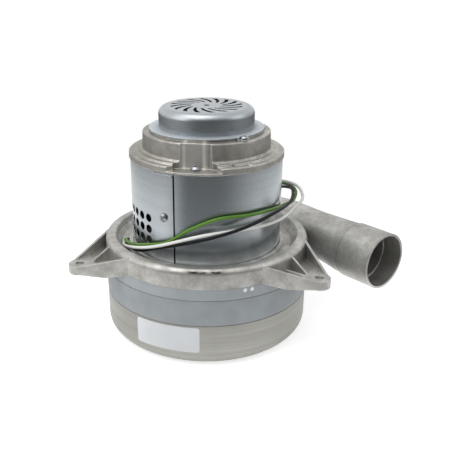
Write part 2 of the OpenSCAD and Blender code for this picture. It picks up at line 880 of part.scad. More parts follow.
// A saddle coil round one pole: end turns above and below the core, legs down the windows
module field_coil() {
    z0 = z_core - coil_rise;
    h = core_h + 2 * coil_rise;
    rotate([0, 0, bolt_az + 90])
        difference() {
            translate([0, 0, z0]) rotate([0, 0, -coil_half_angle])
                rotate_extrude(angle = 2 * coil_half_angle)
                    translate([coil_in_r, 0]) square([coil_out_r - coil_in_r, h]);
            translate([0, 0, z_core - 0.2]) rotate([0, 0, -pole_half_angle])
                rotate_extrude(angle = 2 * pole_half_angle)
                    translate([coil_in_r - 2, 0]) square([coil_out_r, core_h + 0.4]);
        }
}

module field_coil_right() { color("#b4672e") field_coil(); }
module field_coil_left() { color("#b4672e") rotate([0, 0, 180]) field_coil(); }

// Shroud: a wrapped sheet with its end lapped over at the seam, and a patch of vents

module motor_shroud() {
    vent_step = vent_pitch / shroud_r * 180 / PI;
    lap_z0 = z_floor + locate_h + 0.3;
    lap_z1 = z_brk - 1.2;
    color("#9ea3a6")
    difference() {
        union() {
            tube(shroud_r, shroud_r - shroud_t, z_floor, z_brk);
            rotate([0, 0, seam_az - lap_angle]) rotate_extrude(angle = lap_angle)
                translate([shroud_r - shroud_t / 2, lap_z0]) square([shroud_t / 2 + lap_t, lap_z1 - lap_z0]);
        }
        rotate([0, 0, seam_az]) translate([shroud_r + eps / 10, lap_trim - lap_corner_r, lap_z1 + lap_trim - lap_corner_r])
            difference() {
                cube([lap_corner_r, 2 * lap_corner_r, 2 * lap_corner_r]);
                rotate([0, 90, 0]) translate([0, 0, -eps]) cylinder(r = lap_corner_r, h = 2 * lap_corner_r);
            }
        for (c = [0 : vent_cols - 1])
            for (r = [0 : vent_rows - 1])
                rotate([0, 0, vent_az - c * vent_step]) translate([shroud_r - 5, 0, z_floor + vent_row_z + r * vent_pitch])
                    rotate([0, 90, 0]) cylinder(r = vent_d / 2, h = 10, $fn = 32);
        rotate([0, 0, grommet_az]) translate([shroud_r - 5, 0, grommet_z]) rotate([0, 90, 0])
            cylinder(r = grommet_neck_r + 2 * fit, h = 10);
        rotate([0, 0, shroud_screw_az]) translate([shroud_r - 5, 0, shroud_screw_z]) rotate([0, 90, 0])
            cylinder(r = screw_shank_r + 2 * fit, h = 10);
    }
}

module shroud_screw() {
    color("#b9bcbd")
    rotate([0, 0, shroud_screw_az]) translate([shroud_r + lap_t + 0.1, 0, shroud_screw_z]) rotate([0, 90, 0])
        rotate([0, 0, 45]) pan_screw(screw_head_r, 2.2, screw_shank_r, 7);
}

// Rubber grommet: a flange on each side of the sheet, and a neck through it
module lead_grommet() {
    color("#2c2c2c")
    rotate([0, 0, grommet_az]) translate([0, 0, grommet_z]) rotate([0, 90, 0]) {
        translate([0, 0, shroud_r + 0.05]) cylinder(r = grommet_r, h = grommet_t);
        translate([0, 0, shroud_r - shroud_t - 2.3]) cylinder(r = grommet_r - 0.5, h = 1.7);
        translate([0, 0, shroud_r - shroud_t - 2]) cylinder(r = grommet_neck_r, h = shroud_t + 3);
    }
}

// End bracket: flange on the shroud, neck, ribbed top with the bearing hub, and two bolt notches

module end_bracket() {
    color("#969591")
    difference() {
        union() {
            rotate_extrude() {
                polygon([[neck_in_r, z_brk], [flange_r - 0.6, z_brk], [flange_r, z_brk + 0.6],
                    [flange_r, z_flange - 0.8], [flange_r - 0.8, z_flange], [ledge_r + 0.6, z_flange],
                    [ledge_r, z_ledge], [neck_in_r, z_ledge]]);
                polygon([[neck_in_r, z_brk], [neck_r + 1.2, z_ledge - 0.1], [neck_r, z_ledge + 1.4],
                    [neck_r - 0.5, z_neck - 1.2], [neck_r - 1.7, z_neck], [neck_in_r, z_neck]]);
                translate([neck_r - 1.7, z_neck - 1.2]) circle(1.2);
                translate([seat_in_r, z_neck - top_plate_t]) square([neck_r - 2 - seat_in_r, top_plate_t]);
                translate([seat_in_r, z_neck - top_plate_t]) square([seat_r - seat_in_r, z_seat - z_neck + top_plate_t]);
                translate([spigot_r - spigot_t, z_brk - 6]) square([spigot_t, 6 + eps]);
            }
            translate([0, 0, z_top_bearing - 0.8]) cylinder(r = hub_top_r, h = top_bearing_w + 1.1);
            for (a = [0 : 90 : 270])
                rotate([0, 0, bolt_az + 45 + a]) translate([hub_top_r - 2, -arm_w / 2, z_neck - top_plate_t - 2])
                    cube([seat_in_r - hub_top_r + 3, arm_w, top_plate_t + 2]);
            at_bolts() translate([0, 0, z_core + core_h]) cylinder(r = boss_r, h = z_notch - z_core - core_h);
            for (a = [0, 180])
                rotate([0, 0, bolt_az + 90 + a]) translate([shelf_in, -shelf_half_w, z_shelf - shelf_t])
                    cube([spigot_r - spigot_t + 1 - shelf_in, 2 * shelf_half_w, shelf_t]);
            for (i = [0, 1])
                rotate([0, 0, nub_az[i]]) translate([nub_at_r[i], 0, z_flange - eps])
                    cylinder(r = nub_r, h = nub_h + eps);
            rotate([0, 0, pad_az]) translate([pad_at_r, 0, z_flange - eps]) cylinder(r = pad_r, h = pad_h + eps);
            intersection() {
                translate([0, 0, z_brk]) cylinder(r = neck_r - 1, h = z_neck - z_brk);
                for (a = [0, 180])
                    rotate([0, 0, bolt_az + a]) translate([recess_r - neck_t, -recess_half_w - neck_t, z_brk])
                        cube([2 * neck_t, 2 * (recess_half_w + neck_t), z_neck - z_brk]);
            }
        }
        for (a = [0, 180])
            rotate([0, 0, bolt_az + a]) {
                translate([neck_r - 1, -notch_half_w, z_notch]) cube([far / 10, 2 * notch_half_w, z_ledge - z_notch + 0.1]);
                translate([0, 0, z_notch]) linear_extrude(far)
                    polygon([[recess_r, -recess_half_w], [recess_r, recess_half_w],
                        [recess_r + neck_r, recess_half_w + neck_r], [recess_r + neck_r, -recess_half_w - neck_r]]);
            }
        at_bolts() translate([0, 0, z_core]) cylinder(r = bolt_shank_r + 0.2, h = far);
        translate([0, 0, z_top_bearing]) cylinder(r = top_bearing_od / 2 + fit, h = far);
        translate([0, 0, z_brk]) cylinder(r = top_bearing_od / 2 - 2, h = far);
        at_cover_screws() translate([0, 0, z_neck - cover_hole_depth]) cylinder(r = screw_shank_r + fit, h = far);
        at_cover_screws() translate([0, 0, z_neck + cover_t - fit]) cylinder(r = cover_head_r + 0.4, h = far);
        for (a = [0, 180])
            for (s = [1, -1])
                rotate([0, 0, bolt_az + 90 + a]) translate([foot_screw_x, s * foot_screw_y, z_shelf - far / 40])
                    cylinder(r = screw_shank_r - 0.3 + fit, h = far / 40 + eps);
    }
}

module through_bolts() {
    color("#b9bcbd")
    at_bolts() translate([0, 0, z_notch])
        pan_screw(bolt_head_r, bolt_head_h, bolt_shank_r, z_notch - z_floor - bolt_end_rise);
}

// Brushes. The right one is drawn along the line of the poles, the left one is its copy

module at_brush(s) {
    rotate([0, 0, bolt_az + (s > 0 ? 90 : 270)]) translate([0, 0, z_brush]) children();
}

module box_tube(x0, x1, w, h, t) {
    difference() {
        translate([x0, -w / 2 - t, -h / 2 - t]) cube([x1 - x0, w + 2 * t, h + 2 * t]);
        translate([x0 - eps, -w / 2, -h / 2]) cube([x1 - x0 + 2 * eps, w, h]);
    }
}

module brush_guide() {
    box_tube(guide_in, guide_out, guide_w, guide_h, guide_t);
    translate([guide_out, -guide_w / 2 - guide_t, -guide_h / 2 - guide_t])
        cube([guide_t, guide_w + 2 * guide_t, guide_h + 2 * guide_t]);
}

module brush_holder() {
    w = guide_w + 2 * guide_t + 2 * fit;
    h = guide_h + 2 * guide_t + 2 * fit;
    end = guide_out + guide_t + fit;
    difference() {
        union() {
            box_tube(holder_in, end + holder_end_t / 2, w, h, holder_wall - fit);
            translate([end, -w / 2 - holder_wall + fit, -h / 2 - holder_wall + fit])
                cube([holder_end_t, w + 2 * holder_wall - 2 * fit, h + 2 * holder_wall - 2 * fit]);
            for (s = [1, -1])
                translate([foot_screw_x - foot_len / 2, s > 0 ? w / 2 + 1 : -foot_half_w, z_shelf - z_brush])
                    cube([foot_len, foot_half_w - w / 2 - 1, foot_t]);
        }
        for (s = [1, -1])
            translate([foot_screw_x, s * foot_screw_y, z_shelf - z_brush - eps])
                cylinder(r = screw_shank_r - 0.3 + 2 * fit, h = foot_t + 2 * eps);
    }
}

module carbon_brush() {
    difference() {
        translate([com_r - 3, -brush_w / 2, -brush_h / 2]) cube([brush_out - com_r + 3, brush_w, brush_h]);
        translate([0, 0, -brush_h]) cylinder(r = brush_in, h = 2 * brush_h);
    }
}

// Points round a coil along X, and the tube swept along any list of points
function coil_points(x0, x1, r, turns, rings) =
    [for (i = [0 : turns * rings])
        let (a = i * 360 / rings) [x0 + (x1 - x0) * i / (turns * rings), r * cos(a), r * sin(a)]];
function unit(v) = v / max(norm(v), 0.0001);
function tangent(p, i) = unit(p[min(i + 1, len(p) - 1)] - p[max(i - 1, 0)]);
function side_of(t) = unit(cross(t, abs(t[2]) > 0.9 ? [1, 0, 0] : [0, 0, 1]));
function frames(p, i = 0, s = undef) =
    i == len(p) ? [] :
    let (t = tangent(p, i), s0 = is_undef(s) ? side_of(t) : s, n = unit(s0 - (s0 * t) * t))
    concat([[t, n, cross(t, n)]], frames(p, i + 1, n));

module swept_tube(p, r, sides) {
    n = len(p);
    f = frames(p);
    pts = [for (i = [0 : n - 1]) for (k = [0 : sides - 1])
        let (a = 360 * k / sides) p[i] + r * (cos(a) * f[i][1] + sin(a) * f[i][2])];
    walls = [for (i = [0 : n - 2]) for (k = [0 : sides - 1]) for (h = [0, 1])
        let (k1 = (k + 1) % sides, a = i * sides + k, b = i * sides + k1, c = a + sides, d = b + sides)
        h == 0 ? [a, c, b] : [b, c, d]];
    caps = [[for (k = [0 : sides - 1]) k], [for (k = [sides - 1 : -1 : 0]) (n - 1) * sides + k]];
    polyhedron(points = pts, faces = concat(walls, caps), convexity = 10);
}

module brush_spring() {
    x0 = brush_out + 0.1 + spring_wire / 2;
    x1 = guide_out - 0.1 - spring_wire / 2;
    swept_tube(coil_points(x0, x1, spring_r, spring_turns, spring_rings), spring_wire / 2, spring_sides);
}

module brush_guide_left() { color("#c2a24f") at_brush(-1) brush_guide(); }
module brush_guide_right() { color("#c2a24f") at_brush(1) brush_guide(); }
module brush_holder_left() { color("#3b2f28") at_brush(-1) brush_holder(); }
module brush_holder_right() { color("#3b2f28") at_brush(1) brush_holder(); }
module carbon_brush_left() { color("#3c3c3e") at_brush(-1) carbon_brush(); }
module carbon_brush_right() { color("#3c3c3e") at_brush(1) carbon_brush(); }
module brush_spring_left() { color("#b0b3b5") at_brush(-1) brush_spring(); }
module brush_spring_right() { color("#b0b3b5") at_brush(1) brush_spring(); }

module brush_screws() {
    color("#b9bcbd")
    for (s = [1, -1])
        for (y = [foot_screw_y, -foot_screw_y])
            at_brush(s) translate([foot_screw_x, y, z_shelf - z_brush + foot_t])
                pan_screw(2.5, 1.8, screw_shank_r - 0.3, foot_t + shelf_t - 0.5);
}

// Cooling fan and its cover

module at_cover_screws() {
    for (a = [0, 180])
        rotate([0, 0, cover_screw_az + a]) translate([cover_screw_r, 0, 0]) children();
}

module cooling_fan() {
    color("#8f9294")
    difference() {
        union() {
            translate([0, 0, z_cool]) cylinder(r = cool_hub_r, h = z_nut - z_cool);
            translate([0, 0, z_cool_disc]) cylinder(r = cool_r, h = cool_disc_t);
            for (i = [0 : cool_blades - 1])
                rotate([0, 0, i * 360 / cool_blades]) translate([0, 0, z_cool_disc + cool_disc_t / 2])
                    linear_extrude(z_nut - z_cool_disc - cool_blade_drop)
                        vane_2d(cool_hub_r + cool_hub_clear, cool_r - eps, cool_arc_r, cool_arc_c, cool_blade_t);
        }
        translate([0, 0, z_cool - eps]) cylinder(r = shaft_top_r + fit, h = far);
    }
}

module cooling_fan_nut() {
    color("#b9bcbd")
    difference() {
        translate([0, 0, z_nut]) cylinder(r = 7, h = nut_h, $fn = 6);
        translate([0, 0, z_nut - eps]) cylinder(r = shaft_top_r + fit, h = nut_h + 2 * eps);
    }
}

// One slot of the cover: its edges curve as they go out and it widens
function slot_edge(s) = [for (i = [0 : slot_steps])
    let (t = i / slot_steps, r = slot_r_in + (slot_r_out - slot_r_in) * t,
        w = slot_w_in + (slot_w_out - slot_w_in) * t,
        a = slot_sweep * t + s * w / 2 / r * 180 / PI)
    r * [cos(a), sin(a)]];
module slot_2d() {
    right = slot_edge(-1);
    left = slot_edge(1);
    polygon(concat(right, [for (i = [slot_steps : -1 : 0]) left[i]]));
}

module fan_cover() {
    color("#aab0b2")
    difference() {
        union() {
            rotate_extrude() {
                translate([cover_r - cover_t, z_seat]) square([cover_t, cover_h - cover_corner_r]);
                translate([cover_r - cover_t, z_seat]) square([cover_flange_d / 2 - cover_r + cover_t, cover_t]);
                translate([0, cover_z1 - cover_t]) square([cover_r - cover_corner_r, cover_t]);
                translate([cover_r - cover_corner_r, cover_z1 - cover_corner_r]) intersection() {
                    difference() {
                        circle(cover_corner_r);
                        circle(cover_corner_r - cover_t);
                    }
                    square(cover_corner_r);
                }
            }
            for (a = [0, 180])
                rotate([0, 0, cover_screw_az + a]) {
                    translate([cover_screw_r, 0, z_neck]) cylinder(r = cover_ear_r, h = cover_t);
                    translate([seat_r - 1, -cover_ear_w / 2, z_neck])
                        cube([cover_screw_r - seat_r + 1, cover_ear_w, cover_t]);
                    translate([seat_r - 1, -cover_ear_w / 2, z_neck])
                        cube([cover_t + 1, cover_ear_w, z_seat - z_neck + cover_t / 2]);
                }
        }
        for (i = [0 : slot_count - 1])
            rotate([0, 0, i * 360 / slot_count - 129]) translate([0, 0, cover_z1 - 2 * cover_t])
                linear_extrude(3 * cover_t) slot_2d();
        translate([0, 0, cover_z1 - 2 * cover_t]) cylinder(r = cover_hole_r, h = 3 * cover_t);
        translate([0, 0, z_neck - eps]) cylinder(r = seat_r + seat_gap / 2, h = z_seat - z_neck + eps);
        at_cover_screws() translate([0, 0, z_neck - eps]) cylinder(r = screw_shank_r + 2 * fit, h = cover_t + 2 * eps);
        at_cover_screws() translate([0, 0, z_neck + cover_t]) cylinder(r = cover_head_r + 0.4, h = far / 40);
    }
}

module cover_screws() {
    color("#b9bcbd")
    at_cover_screws() translate([0, 0, z_neck + cover_t]) pan_screw(cover_head_r, cover_head_h, screw_shank_r, cover_screw_len);
}

// Leads: each leaves the grommet, loops forward, leans on the shroud and ends in the ring's channel
lead_black_route = [[47, 50, 111.5], [57, 58.5, 110.5], [69.5, 53, 112], [75.5, 37, 117], [79, 19, 120.5],
    [76.5, -2, 119.5], [69.5, -23, 120], [55.5, -47, 121], [34, -67, 117.6], [8, -74.3, 111.2],
    [-17, -71, 103.8], [-39, -60.5, 96], [-56, -46.5, 87.5], [-69, -23.5, 82], [-72, 0, 81.5]];
lead_white_route = [[46, 51, 115], [56, 60.5, 115.5], [68.5, 55.5, 116.5], [75.5, 40, 121.5], [84.5, 18, 123],
    [86, -1, 118.5], [77, -16, 115.5], [64, -37, 112.9], [44.6, -56.6, 113.4], [18, -68.9, 113.4],
    [-6, -73.2, 110.9], [-38, -64.5, 99.5], [-57, -51, 92], [-72, -28, 84.5], [-74.5, -3, 81.5]];
lead_green_route = [[44.5, 52, 112], [54, 62.5, 112.5], [70, 58, 114], [79, 38, 118.5], [82, 16, 119.5],
    [77.5, -1, 116.5], [68.5, -12, 116.5], [55.5, -41.5, 123], [35, -60, 124.5], [9, -68.5, 124],
    [-14, -68, 114.5], [-32, -62, 101.5], [-51, -50.5, 94.5], [-65, -36, 89.5], [-74.5, -14, 86]];

// Catmull-Rom: lead_steps rings from each route point to the next
function spline(p) = concat([for (i = [0 : len(p) - 2]) for (k = [0 : lead_steps - 1])
    let (t = k / lead_steps, a = p[max(i - 1, 0)], b = p[i], c = p[i + 1], d = p[min(i + 2, len(p) - 1)])
    0.5 * (2 * b + (c - a) * t + (2 * a - 5 * b + 4 * c - d) * t * t + (3 * b - a - 3 * c + d) * t * t * t)],
    [p[len(p) - 1]]);

module lead(route) {
    swept_tube(spline(route), lead_d / 2, lead_sides);
}

module lead_black() { color("#222222") lead(lead_black_route); }
module lead_white() { color("#e6e6e0") lead(lead_white_route); }
module lead_green() { color("#5f9e2e") lead(lead_green_route); }

inlet_shell();
second_stage_shell();
third_stage_shell();
return_vanes_1();
return_vanes_2();
fan_1();
fan_2();
fan_3();
fan_spacers();
fan_washers();
fan_nut();
shaft();
discharge_housing();
shaft_seal();
lower_bearing();
bearing_retainer();
retainer_screws();
upper_bearing();
armature_core();
armature_winding();
commutator();
field_core();
field_coil_left();
field_coil_right();
motor_shroud();
shroud_screw();
lead_grommet();
end_bracket();
through_bolts();
brush_guide_left();
brush_guide_right();
brush_holder_left();
brush_holder_right();
brush_screws();
carbon_brush_left();
carbon_brush_right();
brush_spring_left();
brush_spring_right();
cooling_fan();
cooling_fan_nut();
fan_cover();
cover_screws();
lead_black();
lead_white();
lead_green();
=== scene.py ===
"""The looks of the vacuum motor unit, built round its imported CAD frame. Every length is in metres."""

import logging
import math
from dataclasses import dataclass
from enum import Enum
from typing import Any, Sequence

import bmesh
import bpy
from mathutils import Matrix, Vector


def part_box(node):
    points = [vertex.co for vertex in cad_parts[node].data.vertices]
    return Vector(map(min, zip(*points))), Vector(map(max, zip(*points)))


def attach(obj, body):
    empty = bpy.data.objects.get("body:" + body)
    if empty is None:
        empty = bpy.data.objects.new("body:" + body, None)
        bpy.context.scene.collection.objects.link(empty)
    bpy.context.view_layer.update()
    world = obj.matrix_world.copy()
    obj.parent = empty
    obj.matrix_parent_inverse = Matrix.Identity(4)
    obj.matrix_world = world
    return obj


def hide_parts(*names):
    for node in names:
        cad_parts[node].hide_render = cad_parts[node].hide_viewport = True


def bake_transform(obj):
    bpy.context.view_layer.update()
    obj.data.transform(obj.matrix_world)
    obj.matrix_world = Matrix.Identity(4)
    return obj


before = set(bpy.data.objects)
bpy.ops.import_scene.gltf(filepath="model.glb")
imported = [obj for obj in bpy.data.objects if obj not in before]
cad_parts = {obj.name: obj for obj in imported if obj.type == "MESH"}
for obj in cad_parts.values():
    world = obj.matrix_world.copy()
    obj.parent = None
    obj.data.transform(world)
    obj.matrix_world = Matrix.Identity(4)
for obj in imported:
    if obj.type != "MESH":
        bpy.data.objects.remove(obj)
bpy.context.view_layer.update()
LOG = logging.getLogger("motor_unit")
MM = 0.001
WELD = 0.001 * MM
Colour = tuple[float, float, float]
Point = tuple[float, float, float]
Span = tuple[float, float]
Socket = bpy.types.NodeSocket
Marks = list[tuple[Socket, Colour]]


def srgb(red: float, green: float, blue: float) -> Colour:
    """Turns a colour read from a screen, 0 to 255, into the linear values that a shader takes."""
    parts = [c / 255 for c in (red, green, blue)]
    return tuple(c / 12.92 if c < 0.04045 else ((c + 0.055) / 1.055) ** 2.4 for c in parts)


class Graph:
    """A shader or geometry tree that is being wired."""

    def __init__(self, tree: bpy.types.NodeTree) -> None:
        """Keeps the tree that the calls add to."""
        self.tree = tree

    def add(self, kind: str, inputs: dict[Any, Any] | None = None, **settings: Any) -> bpy.types.Node:
        """Adds a node with its settings and inputs.

        Args:
            kind: The node's type.
            inputs: Each input's name or number, with a value or the socket that feeds it.
            **settings: The node's own properties.

        Returns:
            The new node.
        """
        node = self.tree.nodes.new(kind)
        for key, value in settings.items():
            setattr(node, key, value)
        for key, value in (inputs or {}).items():
            if isinstance(value, Socket):
                self.tree.links.new(value, node.inputs[key])
            else:
                node.inputs[key].default_value = value
        return node

    def math(self, operation: str, a: Any, b: Any = 0.0, c: Any = 0.0) -> Socket:
        """Adds a sum of up to three values or sockets and returns its result's socket."""
        return self.add("ShaderNodeMath", {0: a, 1: b, 2: c}, operation=operation).outputs[0]

    def times(self, first: Any, *others: Any) -> Socket:
        """Multiplies values.

        Args:
            first: The first value or socket.
            *others: The values or sockets to multiply it by.

        Returns:
            The product's socket.
        """
        for value in others:
            first = self.math("MULTIPLY", first, value)
        return first

    def gap(self, a: Any, b: Any) -> Socket:
        """Adds how far apart two values lie."""
        return self.math("ABSOLUTE", self.math("SUBTRACT", a, b))

    def ramp(self, value: Any, low: float, high: float, out_low: float = 0.0, out_high: float = 1.0) -> Socket:
        """Maps a value smoothly from one range to another.

        Args:
            value: The socket to map.
            low: Where the range starts.
            high: Where it ends.
            out_low: What the start gives.
            out_high: What the end gives.

        Returns:
            The mapped value's socket.
        """
        return self.add("ShaderNodeMapRange", {"Value": value, "From Min": low, "From Max": high,
                                               "To Min": out_low, "To Max": out_high},
                        interpolation_type="SMOOTHSTEP").outputs[0]

    def mix(self, factor: Any, a: Any, b: Any) -> Socket:
        """Mixes two colours or their sockets, by the factor that is the second's share."""
        first, second = (c if isinstance(c, Socket) else (*c, 1.0) for c in (a, b))
        return self.add("ShaderNodeMix", {0: factor, 6: first, 7: second}, data_type="RGBA").outputs[2]

    def noise(self, vector: Any, scale: Any, detail: float = 3.0, rough: float = 0.55) -> Socket:
        """Adds noise with so many features to the metre, and with so many finer layers of that strength."""
        return self.add("ShaderNodeTexNoise", {"Vector": vector, "Scale": scale, "Detail": detail,
                                               "Roughness": rough}).outputs[0]

    def point(self) -> Socket:
        """Adds the coordinates of each point of the surface, which are those of the shared frame."""
        return self.add("ShaderNodeTexCoord").outputs["Object"]

    def split(self, vector: Any) -> Sequence[Socket]:
        """Adds a vector's three parts."""
        return self.add("ShaderNodeSeparateXYZ", {0: vector}).outputs

    def join(self, x: Any = 0.0, y: Any = 0.0, z: Any = 0.0) -> Socket:
        """Adds a vector made of its parts."""
        return self.add("ShaderNodeCombineXYZ", {0: x, 1: y, 2: z}).outputs[0]

    def reach(self, x: Any, y: Any) -> Socket:
        """Adds how far a point lies from the motor's axis."""
        return self.add("ShaderNodeVectorMath", {0: self.join(x, y)}, operation="LENGTH").outputs["Value"]

    def turn(self) -> Socket:
        """Adds each point's angle round the motor's axis, in radians from the right."""
        place = self.split(self.point())
        return self.math("ARCTAN2", place[1], place[0])

    def group(self, tree: bpy.types.NodeTree, **inputs: Any) -> Sequence[Socket]:
        """Places a shader group with its inputs and returns its outputs."""
        return self.add("ShaderNodeGroup", inputs, node_tree=tree).outputs

    def give(self, **results: Socket) -> bpy.types.NodeTree:
        """Ends a shader group with its results and returns its tree."""
        self.add("NodeGroupOutput", results)
        return self.tree


def shader_group(name: str, inputs: dict[str, float], outputs: dict[str, str]) -> tuple[Graph, Sequence[Socket]]:
    """Makes an empty shader group with named sockets.

    Args:
        name: The group's name.
        inputs: Each input's name and value.
        outputs: Each output's name and kind.

    Returns:
        The group's graph and its inputs' sockets.
    """
    tree = bpy.data.node_groups.new(name, "ShaderNodeTree")
    for label, value in inputs.items():
        tree.interface.new_socket(label, in_out="INPUT", socket_type="NodeSocketFloat").default_value = value
    for label, kind in outputs.items():
        tree.interface.new_socket(label, in_out="OUTPUT", socket_type="NodeSocket" + kind)
    graph = Graph(tree)
    return graph, graph.add("NodeGroupInput").outputs


class Effects:
    """The shader groups that several finishes share, each made once."""

    def __init__(self) -> None:
        """Builds every group."""
        self.cast_grain = self._cast_grain()
        self.draw_lines = self._draw_lines()
        self.edge_wear = self._edge_wear_and_highlight()
        self.grime = self._shade_and_dirt()

    @staticmethod
    def _cast_grain() -> bpy.types.NodeTree:
        """Makes the sandy skin of a die casting: fine pits over slow swells.

        Returns:
            The group's tree.
        """
        g, given = shader_group("cast_grain", {"Scale": 900.0}, {"Height": "Float", "Tone": "Float"})
        place = g.point()
        fine = g.noise(place, given["Scale"], detail=4.0, rough=0.62)
        pits = g.add("ShaderNodeTexVoronoi", {"Vector": place, "Scale": given["Scale"]}).outputs["Distance"]
        slow = g.noise(place, 85.0, detail=5.0, rough=0.65)
        pits_share, fine_share, slow_share = 0.45, 0.75, 0.7
        height = g.math("MULTIPLY_ADD", g.ramp(pits, 0.0, 0.55), pits_share, g.times(fine, fine_share))
        return g.give(Height=height, Tone=g.math("MULTIPLY_ADD", slow, slow_share, g.times(fine, 1 - slow_share)))

    @staticmethod
    def _draw_lines() -> bpy.types.NodeTree:
        """Makes the fine lines that rolling, drawing and turning leave, round the motor's axis.

        Returns:
            The group's tree.
        """
        g, given = shader_group("draw_lines", {"Around": 20.0, "Across": 2500.0}, {"Height": "Float", "Tone": "Float"})
        usual_reach, line_share = 0.08, 0.45
        place = g.split(g.point())
        reach = g.math("SQRT", g.math("ADD", g.times(place[0], place[0]),
                                      g.math("MULTIPLY_ADD", place[1], place[1], 1e-8)))
        around = g.math("DIVIDE", g.times(given["Around"], usual_reach), reach)
        across = g.times(given["Across"], g.math("ADD", place[2], reach))
        where = g.join(g.times(place[0], around), g.times(place[1], around), across)
        lines = g.noise(where, 1.0, rough=0.6)
        broad = g.noise(where, 0.06, rough=0.6)
        return g.give(Height=lines, Tone=g.math("MULTIPLY_ADD", lines, line_share, g.times(broad, 1 - line_share)))

    @staticmethod
    def _edge_wear_and_highlight() -> bpy.types.NodeTree:
        """Finds outer edges, which handling rubs bright and which the finishes also light with a painted highlight, and
        rounds the normal over them.

        Returns:
            The group's tree.
        """
        g, given = shader_group("edge_wear", {"Radius": 0.6 * MM}, {"Mask": "Float", "Normal": "Vector"})
        soft = g.add("ShaderNodeBevel", {"Radius": given["Radius"]}, samples=6).outputs[0]
        plain = g.add("ShaderNodeNewGeometry").outputs["Normal"]
        bend = g.add("ShaderNodeVectorMath", {0: soft, 1: plain}, operation="DOT_PRODUCT").outputs["Value"]
        broken = g.ramp(g.noise(g.point(), 320.0, rough=0.6), 0.25, 0.6, 0.45, 1.0)
        return g.give(Mask=g.times(g.ramp(bend, 0.995, 0.86), broken), Normal=soft)

    @staticmethod
    def _shade_and_dirt() -> bpy.types.NodeTree:
        """Finds where surfaces close in on each other, which the finishes darken with painted shade and with dirt and
        oil, with faint smears in the open.

        Returns:
            The group's tree.
        """
        g, given = shader_group("grime", {"Reach": 6.0 * MM}, {"Mask": "Float", "Smear": "Float"})
        place = g.point()
        # Ambient occlusion finds the crevices, which the mask darkens as painted shade and as dirt.
        shut = g.add("ShaderNodeAmbientOcclusion", {"Distance": given["Reach"]}, samples=6).outputs["AO"]
        mask = g.times(g.ramp(shut, 0.9, 0.25), g.ramp(g.noise(place, 140.0, detail=4.0), 0.2, 0.7, 0.5, 1.0))
        return g.give(Mask=mask, Smear=g.ramp(g.noise(place, 26.0, detail=5.0, rough=0.65), 0.42, 0.75))


def fresh_material(name: str) -> tuple[bpy.types.Material, Graph]:
    """Makes a material with an empty tree.

    Args:
        name: The material's name.

    Returns:
        The material and its graph.
    """
    material = bpy.data.materials.new(name)
    material.use_nodes = True
    material.node_tree.nodes.clear()
    return material, Graph(material.node_tree)


@dataclass(frozen=True)
class Finish:
    """A finish of one of the motor's materials. The classes below give each kind its own pattern.

    Attributes:
        name: The material's name.
        slot: The record's slot that it stands for.
        colour: Its main colour, linear.
        second: The colour of its darker patches, linear.
        metallic: 1 for bare metal, 0 for the rest.
        roughness: How dull it is.
        spread: How much the pattern changes the roughness.
        relief: The pattern's depth.
        scale: The pattern's features to the metre.
        edge: The radius of its softened edges.
        wear_and_highlight: How bright the edges are painted, 0 to 1: rubbing wear and a painted highlight.
        dirt_and_shade: How dark its corners and crevices are painted, 0 to 1: painted shade, and dirt.
        sheen: The specular level.
        rub_and_highlight: How much brighter the worn and highlighted edges are, as a share and as an addition.
        shade_and_dirt_share: The share of its second colour that the painted shade and dirt in crevices keep.
        dull: How much smears and dirt add to the roughness.
    """

    name: str
    slot: str
    colour: Colour
    second: Colour
    metallic: float = 1.0
    roughness: float = 0.4
    spread: float = 0.12
    relief: float = 0.02 * MM
    scale: float = 900.0
    edge: float = 0.4 * MM
    wear_and_highlight: float = 0.3
    dirt_and_shade: float = 0.4
    sheen: float = 0.5
    rub_and_highlight: Span = (1.35, 0.12)
    shade_and_dirt_share: float = 0.22
    dull: Span = (0.6, 0.25)

    def pattern(self, graph: Graph, effects: Effects) -> tuple[Socket, Socket]:
        """Adds the surface's own pattern and returns its tone and its height. Here it is plain fine noise."""
        place = graph.point()
        return graph.noise(place, self.scale * 0.05, detail=4.0), graph.noise(place, self.scale)

    def marks(self, graph: Graph) -> Marks:
        """Adds the marks that show in one place only and returns their masks and colours. Here there are none."""
        return []

    def build(self, effects: Effects) -> bpy.types.Material:
        """Makes the material.

        Args:
            effects: The shared groups.

        Returns:
            The material.
        """
        material, g = fresh_material(self.name)
        tone, height = self.pattern(g, effects)
        worn_and_lit, grime = g.group(effects.edge_wear, Radius=self.edge), g.group(effects.grime)
        patches = g.ramp(tone, 0.3, 0.7)
        colour = g.mix(patches, self.second, self.colour)
        # Edges are painted brighter: rubbing wear, and a painted highlight where they round over.
        share, more = self.rub_and_highlight
        bright = tuple(min(1.0, c * share + more) for c in self.colour)
        colour = g.mix(g.times(worn_and_lit["Mask"], self.wear_and_highlight), colour, bright)
        # Crevices are painted darker: painted shade where surfaces close in, with dirt.
        colour = g.mix(g.times(grime["Mask"], self.dirt_and_shade), colour, tuple(c * self.shade_and_dirt_share for c in self.second))
        for mask, tint in self.marks(g):
            colour = g.mix(mask, colour, tint)
        smeared, dirty = self.dull
        rough = g.math("MULTIPLY_ADD", patches, -self.spread, self.roughness + self.spread / 2)
        rough = g.math("MULTIPLY_ADD", grime["Smear"], self.spread * smeared, rough)
        rough = g.math("MULTIPLY_ADD", grime["Mask"], dirty * self.dirt_and_shade, rough)
        bump = g.add("ShaderNodeBump", {"Height": height, "Distance": self.relief, "Strength": 1.0,
                                        "Normal": worn_and_lit["Normal"]})
        shader = g.add("ShaderNodeBsdfPrincipled", {"Base Color": colour, "Roughness": rough,
                                                    "Metallic": self.metallic, "Normal": bump.outputs[0],
                                                    "Specular IOR Level": self.sheen})
        g.add("ShaderNodeOutputMaterial", {"Surface": shader.outputs[0]})
        return material


